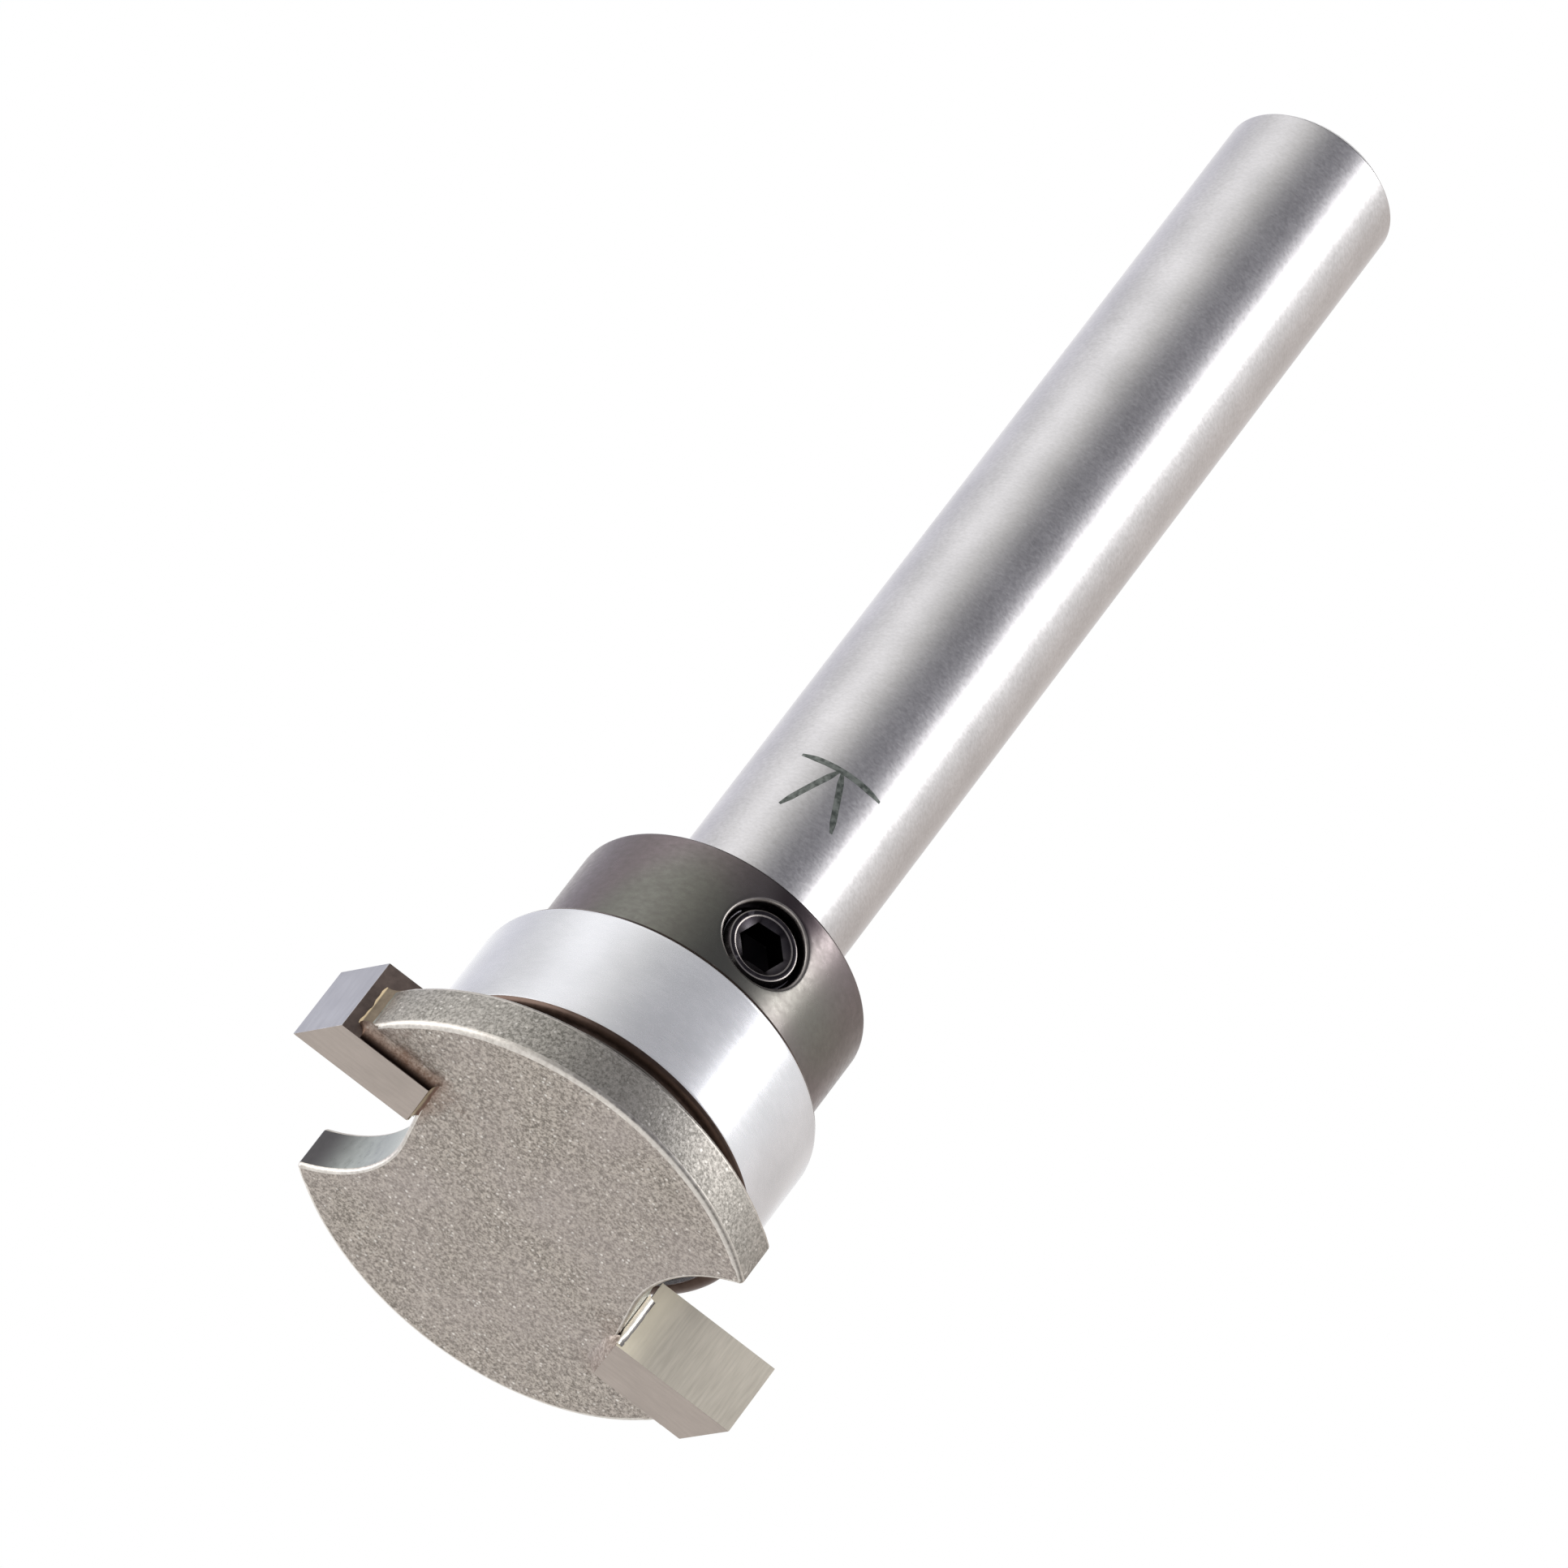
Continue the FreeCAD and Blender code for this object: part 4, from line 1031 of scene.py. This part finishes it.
floorPaper, tree, shader, where = startMaterial("floorPaper", 0)
shader["Base Color"].default_value = (0.9, 0.9, 0.9, 1)
shader["Roughness"].default_value = 0.9
emboss(tree, shader, noise(tree, where, 900.0, 2.0), 1e-5)
distance = addNode(tree, "ShaderNodeVectorMath", {0: where}, operation="LENGTH").outputs["Value"]
fade = remap(tree, distance, 0.0, 1.0, studio["fadeFrom"], studio["floorRadius"], True)
back = addNode(tree, "ShaderNodeNewGeometry").outputs["Backfacing"]
clear = addNode(tree, "ShaderNodeBsdfTransparent").outputs[0]
mixed = addNode(tree, "ShaderNodeMixShader", {
    "Fac": calculate(tree, "MAXIMUM", fade, back),
    1: tree.nodes["Principled BSDF"].outputs[0], 2: clear})
feed(tree, tree.nodes["Material Output"].inputs["Surface"], mixed.outputs[0])
floorEdge = arcPoints((0, 0), studio["floorRadius"], 0, 360, 96)[:-1]
floor = newScenery("floor", [(x, y, 0) for x, y in floorEdge], [list(range(len(floorEdge)))],
                   floorPaper, "diffuse", "glossy", "transmission", "shadow")

# the surround by compass direction, as (degrees, level, cast)
plain, cool, warm, yellow = (1, 1, 1), (0.98, 0.98, 1.08), (1.05, 0.97, 0.91), (1.01, 1, 0.96)
surroundTones = [(-180, 0.86, plain), (-166, 1.28, plain), (-150, 1.0, plain),
                 (-134, 0.76, yellow), (-118, 0.42, plain), (-102, 0.22, cool),
                 (-86, 0.20, cool), (-70, 0.23, cool), (-54, 0.36, cool), (-38, 0.6, plain),
                 (-22, 0.78, yellow), (-6, 0.82, plain), (10, 0.66, warm), (26, 0.58, warm),
                 (42, 0.56, warm), (58, 0.70, warm), (74, 1.0, plain), (88, 1.34, plain),
                 (100, 1.36, plain), (114, 0.98, plain), (130, 0.78, cool), (146, 0.70, cool),
                 (162, 0.72, plain), (180, 0.86, plain)]
surroundPaper = bpy.data.materials.new("surroundPaper")
surroundPaper.use_nodes = True
tree = surroundPaper.node_tree
tree.nodes.remove(tree.nodes["Principled BSDF"])
at = separated(tree, addNode(tree, "ShaderNodeTexCoord").outputs["Object"])
compass = calculate(tree, "ARCTAN2", at["Y"], at["X"])
ramp = addNode(tree, "ShaderNodeValToRGB", {
    "Fac": remap(tree, compass, 0.0, 1.0, -math.pi, math.pi)})
ramp.color_ramp.interpolation = "B_SPLINE"
while len(ramp.color_ramp.elements) < len(surroundTones):
    ramp.color_ramp.elements.new(0.5)
for stop, (degrees, level, cast) in zip(ramp.color_ramp.elements, surroundTones):
    stop.position = (degrees + 180) / 360
    stop.color = (*[level * part / studio["surroundStrength"] for part in cast], 1)
# dimmer below the floor, most so on the +X side, and darker overhead
ahead = remap(tree, calculate(tree, "COSINE", compass), 0.2, 0.7, 0.3, 0.7, True)
beneath = remap(tree, at["Z"], 1.0, 0.0, -0.2, 0.0, True)
overhead = remap(tree, at["Z"], 0.0, 0.88, 1.1, 1.28, True)
dimmed = calculate(tree, "SUBTRACT", calculate(tree, "SUBTRACT", 1.0, calculate(
    tree, "MULTIPLY", ahead, beneath)), overhead, True)
glow = addNode(tree, "ShaderNodeEmission", {
    "Color": ramp.outputs["Color"],
    "Strength": calculate(tree, "MULTIPLY", dimmed, studio["surroundStrength"])})
feed(tree, tree.nodes["Material Output"].inputs["Surface"], glow.outputs[0])
wall = arcPoints((0, 0), studio["surroundRadius"], 0, 360, 144)[:-1]
wide = len(wall)
heights = (studio["surroundLow"], studio["surroundHigh"])
surround = newScenery("surround", [(x, y, height) for height in heights for x, y in wall],
                      tubeFaces(wide, 2) + [list(range(wide, 2 * wide))], surroundPaper,
                      "camera", "diffuse", "transmission", "shadow")

world = bpy.data.worlds.new("studioWhite")
bpy.context.scene.world = world
world.use_nodes = True
tree = world.node_tree
ambient = tree.nodes["Background"]
ambient.inputs["Color"].default_value = (1, 1, 1, 1)
ambient.inputs["Strength"].default_value = studio["ambient"]
white = addNode(tree, "ShaderNodeBackground", {"Color": (1, 1, 1, 1), "Strength": 1.0})
rays = addNode(tree, "ShaderNodeLightPath").outputs
seen = calculate(tree, "MAXIMUM", rays["Is Camera Ray"], calculate(
    tree, "MAXIMUM", rays["Is Glossy Ray"], rays["Is Transmission Ray"]))
mixed = addNode(tree, "ShaderNodeMixShader", {"Fac": seen, 1: ambient.outputs[0],
                                              2: white.outputs[0]})
feed(tree, tree.nodes["World Output"].inputs["Surface"], mixed.outputs[0])

# the key lamp shows in reflections, the fill only lights, the edge lamp only glints on rounded rims
for name, kind in lamps.items():
    lamp = bpy.data.lights.new(name, "AREA")
    lamp.shape = "RECTANGLE"
    lamp.size, lamp.size_y = kind["size"]
    lamp.energy = kind["watts"]
    holder = placeObject(name, lamp)
    turnRad, riseRad = math.radians(kind["turn"]), math.radians(kind["rise"])
    way = Vector((math.cos(turnRad) * math.cos(riseRad), math.sin(turnRad) * math.cos(riseRad),
                  math.sin(riseRad)))
    holder.location = Vector((0, 0, studio["aimHeight"] * mm)) + way * studio["lampFar"]
    holder.rotation_euler = (-way).to_track_quat("-Z", "Y").to_euler()
    holder.visible_camera = False
    holder.visible_glossy = name != "fillLamp"
    holder.visible_diffuse = name != "edgeLamp"
print("studio lit")

# Camera at the photograph's angle, below the cutter and looking up

view = {"right": (0.7940, -0.3611, 0.4891), "up": (-0.6079, -0.4716, 0.6388),
        "ahead": (0, 0.8045, 0.5939), "place": (-1.809, -454.474, -314.723), "lens": 396.39}
camera = bpy.data.cameras.new("photoCamera")
camera.lens = view["lens"]
camera.sensor_width = 36
camera.sensor_fit = "HORIZONTAL"
camera.clip_start = 0.01
cameraHolder = placeObject("photoCamera", camera)
placeAt = Matrix((view["right"], view["up"], -Vector(view["ahead"]))).transposed().to_4x4()
placeAt.translation = Vector(view["place"]) * mm
cameraHolder.matrix_world = placeAt
bpy.context.scene.camera = cameraHolder
bpy.context.scene.view_settings.view_transform = "Standard"

print("scene complete")
